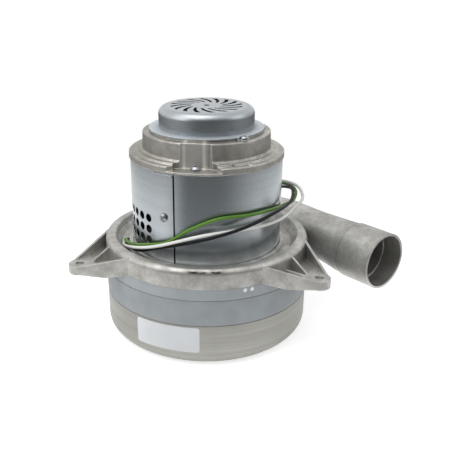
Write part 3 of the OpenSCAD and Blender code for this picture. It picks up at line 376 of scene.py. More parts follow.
@dataclass(frozen=True)
class CastFinish(Finish):
    """A die casting's sandy skin."""

    metallic: float = 0.85

    def pattern(self, graph: Graph, effects: Effects) -> tuple[Socket, Socket]:
        """Adds the cast grain and returns its tone and its height."""
        grain = graph.group(effects.cast_grain, Scale=self.scale)
        return grain["Tone"], grain["Height"]


@dataclass(frozen=True)
class DrawnFinish(Finish):
    """Rolled, drawn or turned metal with fine lines round the axis.

    Attributes:
        around: How fast the lines change along their length, features to the metre.
    """

    around: float = 14.0

    def pattern(self, graph: Graph, effects: Effects) -> tuple[Socket, Socket]:
        """Adds the drawn lines and returns their tone and their height."""
        lines = graph.group(effects.draw_lines, Around=self.around, Across=self.scale)
        return lines["Tone"], lines["Height"]


@dataclass(frozen=True)
class WrapFinish(DrawnFinish):
    """Drawn sheet that is wrapped round, with a painted shadow line where its end laps over, and painted shade and a
    painted reflection under the leads.

    Attributes:
        seam: The line's place, in degrees round from the right.
        seam_half: Half its width, in degrees.
        shade: The heights of the band of painted shade under the leads: its top, its darkest part and its foot.
        foot: How far under the darkest part the painted bright reflection at the foot starts.
        strength: How strong the band and the foot are.
    """

    seam: float = -113.3
    seam_half: float = 0.4
    shade: tuple[float, float, float] = (110.0 * MM, 99.0 * MM, 86.0 * MM)
    foot: float = 4.0 * MM
    strength: float = 0.6

    def marks(self, graph: Graph) -> Marks:
        """Adds the painted shade under the leads, the painted bright reflection at the foot and the painted shadow line
        in the lap.

        Args:
            graph: The material's graph.

        Returns:
            Each mark's mask and its colour.
        """
        high = graph.split(graph.point())[2]
        top, middle, low = self.shade
        # Painted shade and reflection: a darker band under the leads stands for their shade and dark reflection, and
        # the foot is painted lighter for a bright reflection.
        band = graph.times(graph.ramp(high, top, middle), graph.ramp(high, low, middle, 0.0, self.strength))
        foot = graph.ramp(high, middle - self.foot, low, 0.0, self.strength)
        # Painted shadow: a near-black line in the gap where the sheet laps over.
        half = math.radians(self.seam_half)
        line = graph.ramp(graph.gap(graph.turn(), math.radians(self.seam)), half * 1.3, half * 0.7)
        return [(band, srgb(128, 133, 137)), (foot, srgb(232, 238, 243)), (line, srgb(24, 26, 28))]


@dataclass(frozen=True)
class CoverFinish(DrawnFinish):
    """The pressed cover's sheet, with painted shade on its slots' cut walls.

    Attributes:
        slots: The radius that the slots stay within.
        top: The height of the cover's top.
        shade: How far under the top the painted shade starts and is full.
    """

    slots: float = 33.0 * MM
    top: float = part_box("fan_cover")[1][2]
    shade: Span = (0.05 * MM, 0.15 * MM)

    def marks(self, graph: Graph) -> Marks:
        """Adds the painted shade on the slot walls.

        Args:
            graph: The material's graph.

        Returns:
            Each mark's mask and its colour.
        """
        x, y, z = graph.split(graph.point())
        # Painted shade: the slots' cut walls, just under the top, are coloured near black.
        cut = graph.times(graph.ramp(z, *(self.top - depth for depth in self.shade)),
                          graph.math("LESS_THAN", graph.reach(x, y), self.slots))
        return [(cut, srgb(20, 21, 22))]


@dataclass(frozen=True)
class HousingFinish(CastFinish):
    """The discharge housing's casting, with a duller horn and a dark smear along its rim.

    Attributes:
        turned: The horn's angle from straight ahead, in degrees.
        sleeve: How far along the horn its sleeve starts.
        line: Half the width of the sleeve's line, with its soft edge and without.
        skin: How far along the horn its duller skin starts and is full.
        beside: How far to the side of the motor's axis the horn's inner wall stays.
        under: The heights between which the horn's cleaner underside comes in.
        smear: The smear's first and last place, in degrees round from the right.
        smear_ends: How far the smear fades at its ends, in radians.
        smear_at: The radius where the smear lies.
        smear_half: Half its width, with its soft edge and without.
        above: The height that the smear stays above.
    """

    turned: float = 38.7
    sleeve: float = 88.0 * MM
    line: Span = (0.7 * MM, 0.2 * MM)
    skin: Span = (20.0 * MM, 60.0 * MM)
    beside: float = 75.0 * MM
    under: Span = (66.0 * MM, 50.0 * MM)
    smear: Span = (-102.0, -80.0)
    smear_ends: float = 0.08
    smear_at: float = 90.3 * MM
    smear_half: Span = (1.1 * MM, 0.3 * MM)
    above: float = 86.0 * MM

    def marks(self, graph: Graph) -> Marks:
        """Adds the horn's duller skin, its cleaner underside, the sleeve's line and the smear.

        Args:
            graph: The material's graph.

        Returns:
            Each mark's mask and its colour.
        """
        place = graph.point()
        x, y, z = graph.split(place)
        sine, cosine = math.sin(math.radians(self.turned)), math.cos(math.radians(self.turned))
        along = graph.math("SUBTRACT", graph.times(x, sine), graph.times(y, cosine))
        aside = graph.math("GREATER_THAN", graph.math("MULTIPLY_ADD", y, sine, graph.times(x, cosine)), self.beside)
        line = graph.times(graph.ramp(graph.gap(along, self.sleeve), *self.line), aside, 0.75)
        horn = graph.times(graph.ramp(along, *self.skin), aside)
        mottle = graph.ramp(graph.noise(place, 220.0, detail=4.0, rough=0.65), 0.35, 0.65, 0.25, 0.6)
        clean = graph.times(horn, graph.ramp(z, *self.under, 0.0, 0.5))
        turn = graph.turn()
        first, last = (math.radians(side) for side in self.smear)
        smear = graph.times(graph.ramp(turn, first, first + self.smear_ends),
                            graph.ramp(turn, last, last - self.smear_ends),
                            graph.ramp(graph.gap(graph.reach(x, y), self.smear_at), *self.smear_half),
                            graph.math("GREATER_THAN", z, self.above),
                            graph.ramp(graph.noise(place, 160.0), 0.3, 0.5, 0.35, 1.0))
        return [(graph.times(horn, mottle), srgb(152, 151, 147)), (clean, srgb(226, 224, 219)),
                (line, srgb(70, 70, 68)), (smear, srgb(58, 56, 54))]


@dataclass(frozen=True)
class NotchFinish(CastFinish):
    """The end bracket's casting, with painted shade on its left, a lighter front notch, and painted highlights at the
    notch's two rounded sides.

    Attributes:
        sides: The places of the notch's sides, in degrees round from the right.
        back: The radius that the notch's back stays within.
        shine: Half the width of a painted highlight at a side, in degrees.
        left_shade: Where the painted shade on the left starts and is full, across.
    """

    sides: Span = (-112.0, -90.0)
    back: float = 56.0 * MM
    shine: float = 2.2
    left_shade: Span = (-34.0 * MM, -58.0 * MM)

    def marks(self, graph: Graph) -> Marks:
        """Adds the painted shade on the left, the lighter notch and the painted highlights at its sides.

        Args:
            graph: The material's graph.

        Returns:
            Each mark's mask and its colour.
        """
        x, y, _ = graph.split(graph.point())
        near = graph.math("LESS_THAN", graph.reach(x, y), self.back)
        turn = graph.turn()
        first, last = (math.radians(side) for side in self.sides)
        half = math.radians(self.shine)
        notch = graph.times(graph.ramp(turn, first - half, first), graph.ramp(turn, last + half, last), near, 0.55)
        # Painted shade: the left of the bracket is darker; the notch is lighter.
        marks = [(graph.ramp(x, *self.left_shade, 0.0, 0.6), srgb(146, 142, 135)), (notch, srgb(228, 225, 218))]
        # Painted highlights down the notch's two rounded sides.
        for side in (first + half, last - half):
            edge = graph.ramp(graph.gap(turn, side), half, half * 0.3, 0.0, 0.8)
            marks.append((graph.times(edge, near), srgb(248, 246, 240)))
        return marks


@dataclass(frozen=True)
class CoatedFinish(Finish):
    """The dull coating on the two upper shells."""

    metallic: float = 0.35
    roughness: float = 0.55
    spread: float = 0.05
    relief: float = 0.006 * MM
    scale: float = 1300.0
    wear_and_highlight: float = 0.4
    dirt_and_shade: float = 0.15


@dataclass(frozen=True)
class StakedFinish(CoatedFinish):
    """A coated shell with two staked dimples, where its coating is rubbed through.

    Attributes:
        stakes: The dimples' places, in degrees round from the right.
        height: Their height.
        size: Their radius.
        reach: The shell's radius.
    """

    dirt_and_shade: float = 0.1
    stakes: Span = (-70.2, -66.3)
    height: float = 69.7 * MM
    size: float = 2.3 * MM
    reach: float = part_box("third_stage_shell")[1][0]

    def marks(self, graph: Graph) -> Marks:
        """Adds the rubbed dimples.

        Args:
            graph: The material's graph.

        Returns:
            Each mark's mask and its colour.
        """
        place = graph.point()
        spots = []
        for stake in map(math.radians, self.stakes):
            spot = (self.reach * math.cos(stake), self.reach * math.sin(stake), self.height)
            off = graph.add("ShaderNodeVectorMath", {0: place, 1: spot}, operation="DISTANCE").outputs["Value"]
            spots.append((graph.ramp(off, self.size, self.size * 0.4), srgb(246, 248, 250)))
        return spots


class StackedFinish(Finish):
    """A stack of punched laminations, seen at its edges."""

    def pattern(self, graph: Graph, effects: Effects) -> tuple[Socket, Socket]:
        """Adds a groove between laminations.

        Args:
            graph: The material's graph.
            effects: The shared groups.

        Returns:
            The pattern's tone and its height.
        """
        place = graph.point()
        sheets = graph.add("ShaderNodeTexWave", {"Vector": place, "Scale": self.scale / 20.0, "Distortion": 0.15},
                           bands_direction="Z").outputs["Fac"]
        return graph.noise(place, 300.0), sheets


class WoundFinish(Finish):
    """Enamelled wire laid turn on turn round the motor's axis."""

    def pattern(self, graph: Graph, effects: Effects) -> tuple[Socket, Socket]:
        """Adds the turns of wire.

        Args:
            graph: The material's graph.
            effects: The shared groups.

        Returns:
            The pattern's tone and its height.
        """
        place = graph.point()
        turns = graph.add("ShaderNodeTexWave", {"Vector": place, "Scale": self.scale / 20.0, "Distortion": 2.2,
                                                "Detail": 2.0, "Detail Scale": 1.2},
                          wave_type="RINGS", rings_direction="Z").outputs["Fac"]
        return graph.math("MULTIPLY_ADD", turns, 0.5, graph.times(graph.noise(place, 90.0), 0.5)), turns


@dataclass(frozen=True)
class PlasticFinish(Finish):
    """Smooth plastic: the leads' insulation and the sticker."""

    metallic: float = 0.0
    roughness: float = 0.36
    scale: float = 700.0
    edge: float = 0.1 * MM
    wear_and_highlight: float = 0.0
    dirt_and_shade: float = 0.25


class Slots(Enum):
    """Every finish on the motor."""

    CASE = DrawnFinish("case_satin", "case_steel", srgb(166, 165, 159), srgb(146, 145, 140), roughness=0.46,
                       scale=1500.0, relief=0.014 * MM, wear_and_highlight=0.45, dirt_and_shade=0.4)
    COATED = CoatedFinish("coated_shell", "coated_steel", srgb(158, 163, 165), srgb(152, 157, 159))
    STAKED = StakedFinish("staked_shell", "coated_steel", srgb(168, 173, 176), srgb(162, 167, 170))
    SHROUD = WrapFinish("shroud_sheet", "bright_sheet", srgb(188, 194, 197), srgb(178, 184, 188), roughness=0.25,
                        spread=0.05, scale=2600.0, around=6.0, relief=0.0007 * MM, wear_and_highlight=0.5, dirt_and_shade=0.6)
    COVER = CoverFinish("cover_plate", "bright_sheet", srgb(184, 189, 192), srgb(170, 176, 180), roughness=0.36,
                        spread=0.06, scale=1800.0, around=16.0, relief=0.0015 * MM, wear_and_highlight=0.15, dirt_and_shade=0.35, edge=0.3 * MM)
    FLANGE = DrawnFinish("cover_flange", "bright_sheet", srgb(206, 212, 216), srgb(190, 196, 201), roughness=0.62,
                         spread=0.06, scale=1800.0, around=16.0, relief=0.004 * MM, wear_and_highlight=0.9, dirt_and_shade=0.6, edge=0.6 * MM)
    CAST = HousingFinish("housing_casting", "cast_aluminium", srgb(206, 204, 199), srgb(164, 162, 157),
                         roughness=0.44, spread=0.22, relief=0.14 * MM, edge=0.8 * MM, wear_and_highlight=0.5, dirt_and_shade=0.05)
    BRACKET = NotchFinish("bracket_casting", "cast_aluminium", srgb(196, 193, 186), srgb(150, 147, 140),
                          roughness=0.46, spread=0.2, scale=1000.0, relief=0.12 * MM, edge=1.1 * MM, wear_and_highlight=1.0,
                          dirt_and_shade=0.2)
    # Painted shade: the louvres are the cover's own sheet, coloured near black and matt for the shade under the slots.
    LOUVRE = Finish("louvre_shade", "bright_sheet", srgb(30, 32, 34), srgb(20, 22, 24), metallic=0.0, sheen=0.1,
                    roughness=0.7, scale=1500.0, relief=0.004 * MM, wear_and_highlight=0.0, dirt_and_shade=0.5, edge=0.2 * MM)
    IMPELLER = DrawnFinish("impeller_sheet", "fan_aluminium", srgb(196, 199, 200), srgb(178, 181, 183),
                           roughness=0.36, scale=1200.0)
    SCREW = Finish("screw_plating", "screw_steel", srgb(188, 190, 193), srgb(150, 153, 157), roughness=0.3,
                   scale=3000.0, relief=0.008 * MM, edge=0.2 * MM, wear_and_highlight=0.6, dirt_and_shade=0.6)
    BEARING = DrawnFinish("bearing_ring", "bearing_steel", srgb(200, 203, 206), srgb(184, 188, 191),
                          roughness=0.22, scale=4000.0, edge=0.3 * MM)
    LAMINATION = StackedFinish("lamination_stack", "lamination_steel", srgb(120, 123, 125), srgb(92, 95, 97),
                               roughness=0.5, scale=2000.0, relief=0.12 * MM, edge=0.2 * MM)
    COPPER = WoundFinish("copper_turns", "copper_wire", srgb(176, 104, 48), srgb(132, 70, 30), metallic=0.7,
                         roughness=0.34, scale=1400.0, relief=0.3 * MM, wear_and_highlight=0.2)
    BARS = DrawnFinish("commutator_bars", "commutator_copper", srgb(206, 140, 92), srgb(170, 108, 66),
                       roughness=0.28, scale=2400.0)
    BRASS = Finish("guide_brass", "brass", srgb(206, 178, 98), srgb(180, 150, 76), roughness=0.32)
    RUBBER = Finish("grommet_rubber", "black_rubber", srgb(42, 42, 42), srgb(30, 30, 30), metallic=0.0,
                    roughness=0.66, scale=1800.0, relief=0.03 * MM, wear_and_highlight=0.08, dirt_and_shade=0.2)
    MOULDED = Finish("holder_moulding", "brown_moulding", srgb(62, 48, 40), srgb(46, 36, 30), metallic=0.0,
                     roughness=0.48, scale=1500.0, relief=0.03 * MM, wear_and_highlight=0.1, dirt_and_shade=0.2)
    CARBON = Finish("brush_carbon", "carbon", srgb(60, 60, 62), srgb(44, 44, 46), metallic=0.0, roughness=0.58,
                    scale=2500.0, relief=0.04 * MM, wear_and_highlight=0.1)
    BLACK = PlasticFinish("black_pvc", "black_insulation", srgb(20, 20, 21), srgb(15, 15, 16), sheen=0.25,
                          roughness=0.5, dirt_and_shade=0.2)
    WHITE = PlasticFinish("white_pvc", "white_insulation", srgb(238, 239, 233), srgb(220, 220, 211))
    GREEN = PlasticFinish("green_pvc", "green_insulation", srgb(90, 138, 34), srgb(72, 118, 28))
    TINNED = Finish("tinned_strands", "screw_steel", srgb(206, 208, 210), srgb(176, 178, 181), roughness=0.3,
                    edge=0.1 * MM)
    STICKER = PlasticFinish("bare_sticker", "white_insulation", srgb(226, 228, 229), srgb(216, 218, 220),
                            roughness=0.42, scale=500.0, relief=0.006 * MM, edge=0.08 * MM, dirt_and_shade=0.3)


class Paint:
    """Makes each finish once, and lays it on pieces and CAD nodes."""

    def __init__(self) -> None:
        """Starts with the shared groups and no material."""
        self.effects = Effects()
        self.made: dict[Slots, bpy.types.Material] = {}

    def get(self, finish: Slots) -> bpy.types.Material:
        """Makes a finish's material on its first use.

        Args:
            finish: The finish.

        Returns:
            Its material.
        """
        if finish not in self.made:
            self.made[finish] = finish.value.build(self.effects)
        return self.made[finish]

    def nodes(self, finish: Slots, *names: str) -> None:
        """Lays a finish on CAD nodes.

        Args:
            finish: The finish.
            *names: The nodes' names.
        """
        for name in names:
            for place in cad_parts[name].material_slots:
                place.material = self.get(finish)
            LOG.info("node %s: %s", name, finish.name)

    def dress(self, obj: bpy.types.Object, finish: Slots, *replaced: str) -> bpy.types.Object:
        """Finishes a new piece.

        Args:
            obj: The piece.
            finish: Its finish.
            *replaced: The CAD nodes that it stands for.

        Returns:
            The piece.
        """
        obj.data.materials.clear()
        obj.data.materials.append(self.get(finish))
        if replaced:
            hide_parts(*replaced)
        LOG.info("piece %s: %s", obj.name, finish.name)
        return obj

    def piece(self, obj: bpy.types.Object, finish: Slots, *replaced: str) -> bpy.types.Object:
        """Finishes a piece that stands still with the motor's body.

        The material comes before the body: a curve that gets it afterwards measures a metre too wide.

        Args:
            obj: The piece.
            finish: Its finish.
            *replaced: The CAD nodes that it stands for.

        Returns:
            The piece.
        """
        self.dress(obj, finish, *replaced)
        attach(obj, "motor")
        return obj


def link(name: str, data: bpy.types.ID) -> bpy.types.Object:
    """Puts data in the scene as an object.

    Args:
        name: The object's name.
        data: Its mesh, curve, camera or lamp.

    Returns:
        The object.
    """
    obj = bpy.data.objects.new(name, data)
    bpy.context.scene.collection.objects.link(obj)
    return obj


def start_mesh(name: str, points: Sequence[Sequence[float]],
               faces: Sequence[Sequence[int]]) -> tuple[bpy.types.Mesh, bmesh.types.BMesh]:
    """Makes a mesh that can be edited.

    Args:
        name: The mesh's name.
        points: Its points.
        faces: Its faces.

    Returns:
        The mesh and its editable form.
    """
    mesh = bpy.data.meshes.new(name)
    mesh.from_pydata([tuple(p) for p in points], [], [tuple(f) for f in faces])
    bm = bmesh.new()
    bm.from_mesh(mesh)
    return mesh, bm


def end_mesh(mesh: bpy.types.Mesh, bm: bmesh.types.BMesh, crease: float) -> bpy.types.Object:
    """Smooths an edited mesh over its curves, keeps its edges sharp, and puts it in the scene.

    Args:
        mesh: The mesh.
        bm: Its editable form.
        crease: The angle, in degrees, above which an edge stays sharp.

    Returns:
        The piece, named as its mesh.
    """
    for face in bm.faces:
        face.smooth = True
    for edge in bm.edges:
        edge.smooth = len(edge.link_faces) == 2 and edge.calc_face_angle(0.0) < math.radians(crease)
    bm.to_mesh(mesh)
    bm.free()
    return link(mesh.name, mesh)


def smooth_copy(node: str, name: str, crease: float = 28.0) -> bpy.types.Object:
    """Copies a CAD node's mesh, merged, smooth over its curves and sharp at its edges.

    Args:
        node: The CAD node.
        name: The copy's name.
        crease: The angle, in degrees, above which an edge stays sharp.

    Returns:
        The copy.
    """
    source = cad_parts[node].data
    mesh, bm = start_mesh(name, [v.co for v in source.vertices], [p.vertices for p in source.polygons])
    bmesh.ops.remove_doubles(bm, verts=bm.verts, dist=2 * WELD)
    bmesh.ops.dissolve_degenerate(bm, edges=bm.edges, dist=WELD)
    return end_mesh(mesh, bm, crease)


def size_tree(name: str, sizes: dict[str, float]) -> tuple[Graph, Sequence[Socket], dict[str, float]]:
    """Makes a geometry tree with one named input for each size.

    Args:
        name: The tree's name.
        sizes: Each input's name and value. A whole number makes an input for whole numbers.

    Returns:
        The tree's graph, its inputs' sockets, and each input's value by its identifier.
    """
    tree = bpy.data.node_groups.new(name, "GeometryNodeTree")
    tree.interface.new_socket("Geometry", in_out="OUTPUT", socket_type="NodeSocketGeometry")
    values = {}
    for label, size in sizes.items():
        kind = "NodeSocketInt" if isinstance(size, int) else "NodeSocketFloat"
        values[tree.interface.new_socket(label, in_out="INPUT", socket_type=kind).identifier] = size
    graph = Graph(tree)
    return graph, graph.add("NodeGroupInput").outputs, values


def ring_of(graph: Graph, shape: Socket, count: Socket, phase: Any = 0.0) -> None:
    """Repeats a shape round the upright axis and ends the geometry tree with it.

    Args:
        graph: The tree's graph.
        shape: The shape's socket.
        count: How many there are.
        phase: The first one's angle.
    """
    spots = graph.add("GeometryNodePoints", {"Count": count}).outputs[0]
    step = graph.math("DIVIDE", graph.times(graph.add("GeometryNodeInputIndex").outputs[0], 2 * math.pi), count)
    ring = graph.add("GeometryNodeInstanceOnPoints", {"Points": spots, "Instance": shape,
                                                      "Rotation": graph.join(z=graph.math("ADD", phase, step))})
    solid = graph.add("GeometryNodeRealizeInstances", {0: ring.outputs[0]}).outputs[0]
    graph.add("NodeGroupOutput", {0: graph.add("GeometryNodeSetMaterial", {"Geometry": solid}).outputs[0]})


def run_tree(name: str, tree: bpy.types.NodeTree, values: dict[str, float]) -> bpy.types.Object:
    """Runs a geometry tree on an empty mesh and keeps the result as a plain mesh.

    Args:
        name: The new piece's name.
        tree: The tree.
        values: Each input's value by its identifier.

    Returns:
        The piece, with no modifier left on it.
    """
    obj = link(name, bpy.data.meshes.new(name + "_seed"))
    modifier = obj.modifiers.new("nodes", "NODES")
    modifier.node_group = tree
    for key, value in values.items():
        modifier[key] = value
    made = bpy.data.meshes.new_from_object(obj.evaluated_get(bpy.context.evaluated_depsgraph_get()))
    obj.modifiers.clear()
    obj.data = made
    for polygon in made.polygons:
        polygon.use_smooth = True
    return obj


@dataclass
class Studio:
    """The camera at the photograph's angle, the pale floor and the soft light.

    Attributes:
        back: How far the camera stands in front of the motor's axis.
        height: The camera's height.
        tilt: The camera's tilt from straight down, in degrees.
        lens: The focal length on the sensor, in millimetres.
        sensor: The sensor's width, in millimetres.
        shift: The sideways shift, in frame widths.
        aim: The point that the lamps face.
        lamps: Each lamp's name, place, width and power.
        floor_half: Half the floor's width.
        shadow: How far from the axis the floor's shadow starts to fade and is gone.
        card_half: Half the dark card's width.
        card_rise: How far it lies over the floor.
        card_left: Where the near part of the dark card starts and is full, in degrees round from the front.
        card_right: Where it ends and where it is full.
        card_near: The distances from the motor's axis where its near part starts and is full.
        card_far: The distances where it starts and is full all round.
        card_front: The colour of its near part.
        card_round: The colour of its far part.
        rooms: What reflections see above, at the right and in front: a colour, and along which axes of the
            direction it starts and is full.
    """

    back: float = 0.56423
    height: float = 0.312513
    tilt: float = 68.258
    lens: float = 52.007
    sensor: float = 36.0
    shift: float = 0.05089
    aim: Point = (0.0, 0.0, 0.1)
    lamps: tuple[tuple[str, Point, float, float], ...] = (
        ("top_lamp", (-0.3, -0.25, 1.3), 1.0, 6.5), ("left_lamp", (-1.1, -0.5, 0.7), 0.8, 4.5),
        ("right_lamp", (1.1, -0.2, 0.7), 0.8, 2.0))
    floor_half: float = 4.0
    shadow: Span = (0.2, 0.42)
    card_half: float = 3.9
    card_rise: float = 1.0 * MM
    card_left: Span = (-60.0, -26.0)
    card_right: Span = (108.0, 12.0)
    card_near: Span = (0.21, 0.27)
    card_far: Span = (0.45, 0.75)
    card_front: Colour = (0.22, 0.23, 0.235)
    card_round: Colour = (0.12, 0.12, 0.12)
    rooms: tuple[tuple[Colour, tuple[tuple[int, float, float], ...]], ...] = (
        ((0.84, 0.85, 0.86), ((2, 0.4, 0.8),)),
        ((0.6, 0.6, 0.6), ((0, 0.45, 0.9), (2, 0.6, 0.25))),
        ((0.12, 0.12, 0.12), ((1, 0.1, -0.3), (2, 0.8, 0.45))))

    def camera(self) -> None:
        """Sets up the camera."""
        data = bpy.data.cameras.new("camera")
        data.sensor_width = self.sensor
        data.lens = self.lens
        data.shift_x = self.shift
        data.clip_start = 0.01
        obj = link("camera", data)
        obj.location = (0.0, -self.back, self.height)
        obj.rotation_euler = (math.radians(self.tilt), 0.0, 0.0)
        bpy.context.scene.camera = obj

    def lamp(self, name: str, place: Point, size: float, power: float) -> None:
        """Adds a soft square lamp that faces the motor.

        Args:
            name: The lamp's name.
            place: Where it stands.
            size: Its width.
            power: Its power.
        """
        data = bpy.data.lights.new(name, "AREA")
        data.size = size
        data.energy = power
        obj = link(name, data)
        obj.location = place
        obj.rotation_euler = (Vector(self.aim) - Vector(place)).to_track_quat("-Z", "Y").to_euler()

    def world(self) -> None:
        """Lights the scene evenly. The camera and reflections see white, and a darker room in front."""
        world = bpy.data.worlds.new("world")
        bpy.context.scene.world = world
        world.use_nodes = True
        world.node_tree.nodes.clear()
        g = Graph(world.node_tree)
        path = g.add("ShaderNodeLightPath").outputs
        glossy = path["Is Glossy Ray"]
        seen = g.math("MAXIMUM", path["Is Camera Ray"], g.math("MAXIMUM", glossy, path["Is Transmission Ray"]))
        aim = g.split(g.add("ShaderNodeTexCoord").outputs["Generated"])
        shade: Any = (1.0, 1.0, 1.0)
        for tone, ways in self.rooms:
            share = g.times(*(g.ramp(aim[axis], start, full) for axis, start, full in ways), glossy)
            shade = g.mix(share, shade, tone)
        light = g.add("ShaderNodeBackground", {"Color": (0.96, 0.98, 1.0, 1.0), "Strength": 0.5})
        white = g.add("ShaderNodeBackground", {"Color": shade, "Strength": 1.0})
        both = g.add("ShaderNodeMixShader", {0: seen, 1: light.outputs[0], 2: white.outputs[0]})
        g.add("ShaderNodeOutputWorld", {"Surface": both.outputs[0]})

    @staticmethod
    def sheet(name: str, height: float, half: float) -> tuple[bpy.types.Object, Graph]:
        """Lays a square sheet of paper round the motor.

        Args:
            name: The sheet's name.
            height: Its height.
            half: Half its width.

        Returns:
            The sheet and the empty graph of its material.
        """
        mesh = bpy.data.meshes.new(name)
        mesh.from_pydata([(-half, -half, height), (half, -half, height), (half, half, height), (-half, half, height)],
                         [], [(0, 1, 2, 3)])
        obj = link(name, mesh)
        material, graph = fresh_material(name + "_paper")
        mesh.materials.append(material)
        return obj, graph

    def floor(self) -> None:
        """Lays the pale floor, white to the camera apart from the motor's shadow."""
        _, g = self.sheet("floor", 0.0, self.floor_half)
        x, y, _ = g.split(g.point())
        path = g.add("ShaderNodeLightPath").outputs
        seen = g.math("MAXIMUM", path["Is Camera Ray"], path["Is Glossy Ray"])
        paper = g.add("ShaderNodeBsdfDiffuse", {"Color": (0.86, 0.86, 0.86, 1.0)})
        lit, white = (g.add("ShaderNodeEmission", {"Color": (1.0, 1.0, 1.0, 1.0), "Strength": power})
                      for power in (0.6, 1.0))
        shown = g.add("ShaderNodeAddShader", {0: paper.outputs[0], 1: lit.outputs[0]})
        shown = g.add("ShaderNodeMixShader", {0: g.ramp(g.reach(x, y), *self.shadow), 1: shown.outputs[0],
                                              2: white.outputs[0]})
        both = g.add("ShaderNodeMixShader", {0: seen, 1: paper.outputs[0], 2: shown.outputs[0]})
        g.add("ShaderNodeOutputMaterial", {"Surface": both.outputs[0]})

    def card(self) -> None:
        """Lays a soft-edged dark card round the pale sheet, which only reflections see."""
        obj, g = self.sheet("dark_card", self.card_rise, self.card_half)
        x, y, _ = g.split(g.point())
        reach = g.reach(x, y)
        turn = g.math("ARCTAN2", x, g.times(y, -1.0))
        left, right = (g.ramp(turn, *map(math.radians, side)) for side in (self.card_left, self.card_right))
        around = g.ramp(reach, *self.card_far)
        mask = g.math("MAXIMUM", g.times(left, right, g.ramp(reach, *self.card_near)), around)
        dark = g.add("ShaderNodeEmission", {"Color": g.mix(around, self.card_front, self.card_round), "Strength": 1.0})
        clear = g.add("ShaderNodeBsdfTransparent")
        both = g.add("ShaderNodeMixShader", {0: mask, 1: clear.outputs[0], 2: dark.outputs[0]})
        g.add("ShaderNodeOutputMaterial", {"Surface": both.outputs[0]})
        for ray in ("camera", "diffuse", "transmission", "volume_scatter", "shadow"):
            setattr(obj, "visible_" + ray, False)

    def build(self) -> None:
        """Sets up the whole studio."""
        bpy.context.scene.view_settings.view_transform = "Standard"
        self.camera()
        self.world()
        self.floor()
        self.card()
        for lamp in self.lamps:
            self.lamp(*lamp)
        LOG.info("studio ready")


